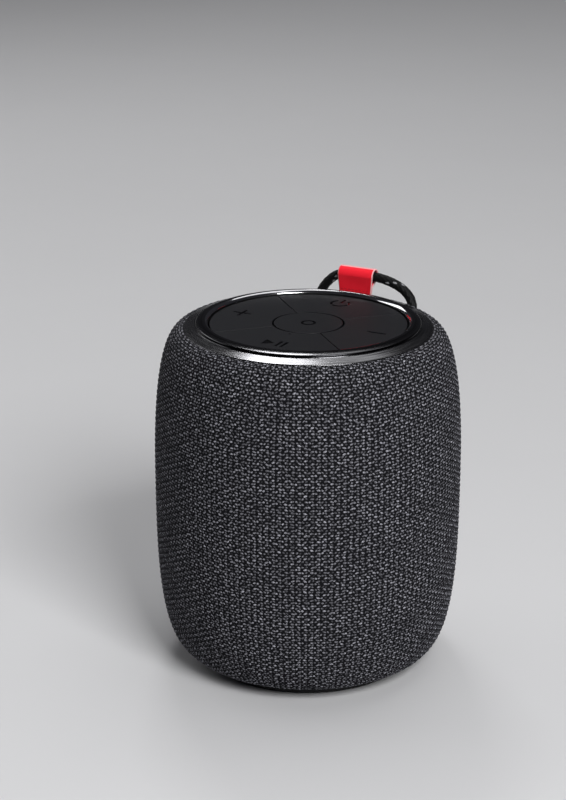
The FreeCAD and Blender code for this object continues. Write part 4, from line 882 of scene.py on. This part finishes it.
def key_finish():
    """Satin rubber skin with glossier, darker symbols at the bottom of their recesses."""
    finish = Finish("key_rubber")
    where = finish.coordinates()
    _, _, z = finish.parts(where)
    below_top = finish.smooth(z, PANEL_TOP - SYMBOL_DEPTH * 0.5, PANEL_TOP - SYMBOL_DEPTH * 0.8)
    above_side = finish.smooth(z, PANEL_TOP - SYMBOL_DEPTH * 2.5, PANEL_TOP - SYMBOL_DEPTH * 1.6)
    in_symbol = finish.math("MULTIPLY", below_top, above_side)
    grain = finish.noise(where, 6000.0, 2.0)
    cloud = finish.noise(where, 60.0, 5.0)
    skin = finish.blend(cloud, (0.0058, 0.0060, 0.0078), (0.0080, 0.0082, 0.0104))
    colour = finish.blend(in_symbol, skin, (0.0015, 0.0015, 0.0018))
    rough = finish.math("MULTIPLY_ADD", cloud, 0.10, 0.46)
    rough = finish.math("MULTIPLY_ADD", in_symbol, -0.24, rough)
    return finish.surface(colour=colour, roughness=rough, specular=0.13,
                          normal=finish.bump(grain, 0.000008, 0.6))


def board_finish():
    """Solder mask over copper: tracks show as slightly raised, lighter runs."""
    finish = Finish("circuit_board")
    where = finish.coordinates()
    tracks = finish.add("ShaderNodeTexBrick", offset=0.37, squash=1.6)
    finish.feed(tracks.inputs["Vector"], where)
    tracks.inputs["Scale"].default_value = 240.0
    tracks.inputs["Mortar Size"].default_value = 0.035
    tracks.inputs["Mortar Smooth"].default_value = 0.3
    run = tracks.outputs["Fac"]
    cloud = finish.noise(where, 200.0, 4.0)
    mask = finish.blend(cloud, (0.006, 0.055, 0.025), (0.010, 0.085, 0.040))
    colour = finish.blend(run, mask, (0.03, 0.19, 0.09))
    return finish.surface(colour=colour, roughness=0.32, coat=0.3, coat_roughness=0.2,
                          normal=finish.bump(run, 0.00003))


def corrugated_cloth():
    """Resin-stiffened cloth of the spider."""
    finish = Finish("spider_cloth")
    where = finish.coordinates()
    weave = finish.add("ShaderNodeTexWave", wave_type="BANDS", bands_direction="DIAGONAL")
    finish.feed(weave.inputs["Vector"], where)
    weave.inputs["Scale"].default_value = 900.0
    weave.inputs["Distortion"].default_value = 1.5
    cloud = finish.noise(where, 260.0, 4.0)
    share = finish.math("MULTIPLY", weave.outputs["Fac"], cloud)
    colour = finish.blend(share, (0.34, 0.20, 0.06), (0.70, 0.50, 0.24))
    return finish.surface(colour=colour, roughness=0.75, sheen=0.2,
                          normal=finish.bump(weave.outputs["Fac"], 0.00006))


def winding():
    """Copper wire wound round the upright axis."""
    finish = Finish("coil_wire")
    _, _, z = finish.parts(finish.coordinates())
    turns = finish.math("SINE", finish.math("MULTIPLY", z, 2 * math.pi / WIRE_DIAMETER))
    share = finish.math("MULTIPLY_ADD", turns, 0.5, 0.5)
    colour = finish.blend(share, (0.30, 0.10, 0.03), (0.85, 0.42, 0.16))
    return finish.surface(colour=colour, metallic=1.0, roughness=0.3, normal=finish.bump(share, 0.00006))


def shrink_film():
    """Creased film round the battery cell."""
    finish = Finish("battery_wrap")
    creases = finish.noise(finish.scaled(finish.coordinates(), (2.0, 1.0, 1.0)), 260.0, 4.0)
    colour = finish.blend(creases, (0.03, 0.10, 0.32), (0.06, 0.17, 0.48))
    return finish.surface(colour=colour, roughness=0.28, coat=0.4, coat_roughness=0.12,
                          normal=finish.bump(creases, 0.0001, 0.5))


FINISHES = {
    "trim_ring": trim_ring_finish(),
    "key_rubber": key_finish(),
    "black_plastic": grained("black_plastic", (0.012, 0.012, 0.013), 0.5),
    "chamber_plastic": grained("chamber_plastic", (0.035, 0.035, 0.038), 0.6, grain=1600.0, depth=0.00004),
    "foot_rubber": grained("foot_rubber", (0.009, 0.009, 0.0095), 0.75, grain=1800.0, depth=0.00003),
    "surround_rubber": grained("surround_rubber", (0.012, 0.012, 0.013), 0.5, grain=4000.0),
    "cone_paper": grained("cone_paper", (0.030, 0.030, 0.032), 0.85, grain=900.0, depth=0.00008,
                          variation=0.4),
    "spider_cloth": corrugated_cloth(),
    "coil_wire": winding(),
    "magnet_ferrite": grained("magnet_ferrite", (0.045, 0.045, 0.047), 0.7, grain=1200.0, depth=0.00005),
    "plated_steel": brushed("plated_steel", (0.62, 0.62, 0.58), 0.34, (300.0, 300.0, 3000.0)),
    "frame_steel": grained("frame_steel", (0.020, 0.020, 0.021), 0.55, grain=1400.0, depth=0.00005),
    "radiator_aluminium": brushed("radiator_aluminium", (0.68, 0.68, 0.70), 0.30, (3000.0, 120.0, 300.0)),
    "screw_steel": brushed("screw_steel", (0.12, 0.12, 0.125), 0.35, (1500.0, 1500.0, 600.0)),
    "circuit_board": board_finish(),
    "battery_wrap": shrink_film(),
    "wire_sleeving": grained("wire_sleeving", (0.045, 0.045, 0.047), 0.45, grain=1500.0),
    "light_pipe": grained("light_pipe", (0.85, 0.90, 0.95), 0.15, variation=0.03, spread=0.03,
                          transmission=0.9, ior=1.49),
    "switch_body": grained("switch_body", (0.015, 0.015, 0.015), 0.35),
    "stem_plastic": grained("stem_plastic", (0.52, 0.50, 0.45), 0.4, subsurface=0.1),
    "dome_silicone": grained("dome_silicone", (0.45, 0.45, 0.44), 0.4, subsurface=0.25, spread=0.05),
    "connector_steel": brushed("connector_steel", (0.66, 0.66, 0.65), 0.24, (400.0, 3000.0, 400.0)),
    "flap_rubber": grained("flap_rubber", (0.013, 0.013, 0.014), 0.6, grain=3000.0, depth=0.00003),
}

# every node that keeps its own mesh gets the finish of its material slot
for part in frame["record"]["subparts"]:
    finish_of_part = FINISHES.get(part["material_slot"])
    if finish_of_part is not None:
        mesh = frame["nodes"][part["node"]].data
        mesh.materials.clear()
        mesh.materials.append(finish_of_part)


trim_ring()


# ---------------------------------------------------------------- floor and light
def floor():
    """Plain pale floor, large enough to fill every view."""
    finish = Finish("floor")
    cloud = finish.noise(finish.coordinates(), 3.0, 6.0)
    colour = finish.blend(cloud, (0.60, 0.60, 0.61), (0.66, 0.66, 0.67))
    material = finish.surface(colour=colour, roughness=0.6)
    reach = FLOOR_REACH
    corners = [(-reach, -reach, 0.0), (reach, -reach, 0.0), (reach, reach, 0.0), (-reach, reach, 0.0)]
    piece = mesh_object("floor", corners, [(0, 1, 2, 3)], [material])


def soft_box(name, place, target, size, power):
    """White rectangular area light that faces its target; its power is in watts."""
    data = bpy.data.lights.new(name, "AREA")
    data.shape = "RECTANGLE"
    data.size, data.size_y = size
    data.energy = power
    lamp = bpy.data.objects.new(name, data)
    lamp.location = place
    lamp.rotation_euler = (Vector(target) - Vector(place)).to_track_quat("-Z", "Y").to_euler()
    bpy.context.scene.collection.objects.link(lamp)


def world(level):
    """Faint bluish fill from all round."""
    scene = bpy.context.scene
    scene.world = bpy.data.worlds.new("studio")
    scene.world.use_nodes = True
    background = scene.world.node_tree.nodes["Background"]
    background.inputs["Color"].default_value = (level, level, level * 1.15, 1.0)
    scene.view_settings.view_transform = "Standard"


floor()
world(0.030)
soft_box("key", (0.75, -0.60, 0.80), (0.0, 0.0, 0.05), (0.5, 0.5), 15.0)
soft_box("window", (-1.02, 0.16, 0.68), (0.0, 0.0, 0.10), (1.10, 0.30), 2.6)
soft_box("rear", (-0.45, 0.60, 1.10), (0.0, 0.0, 0.10), (0.30, 0.22), 2.6)
soft_box("ceiling", (0.20, 1.0, 2.6), (0.20, 0.6, 0.0), (2.0, 2.4), 21.6)
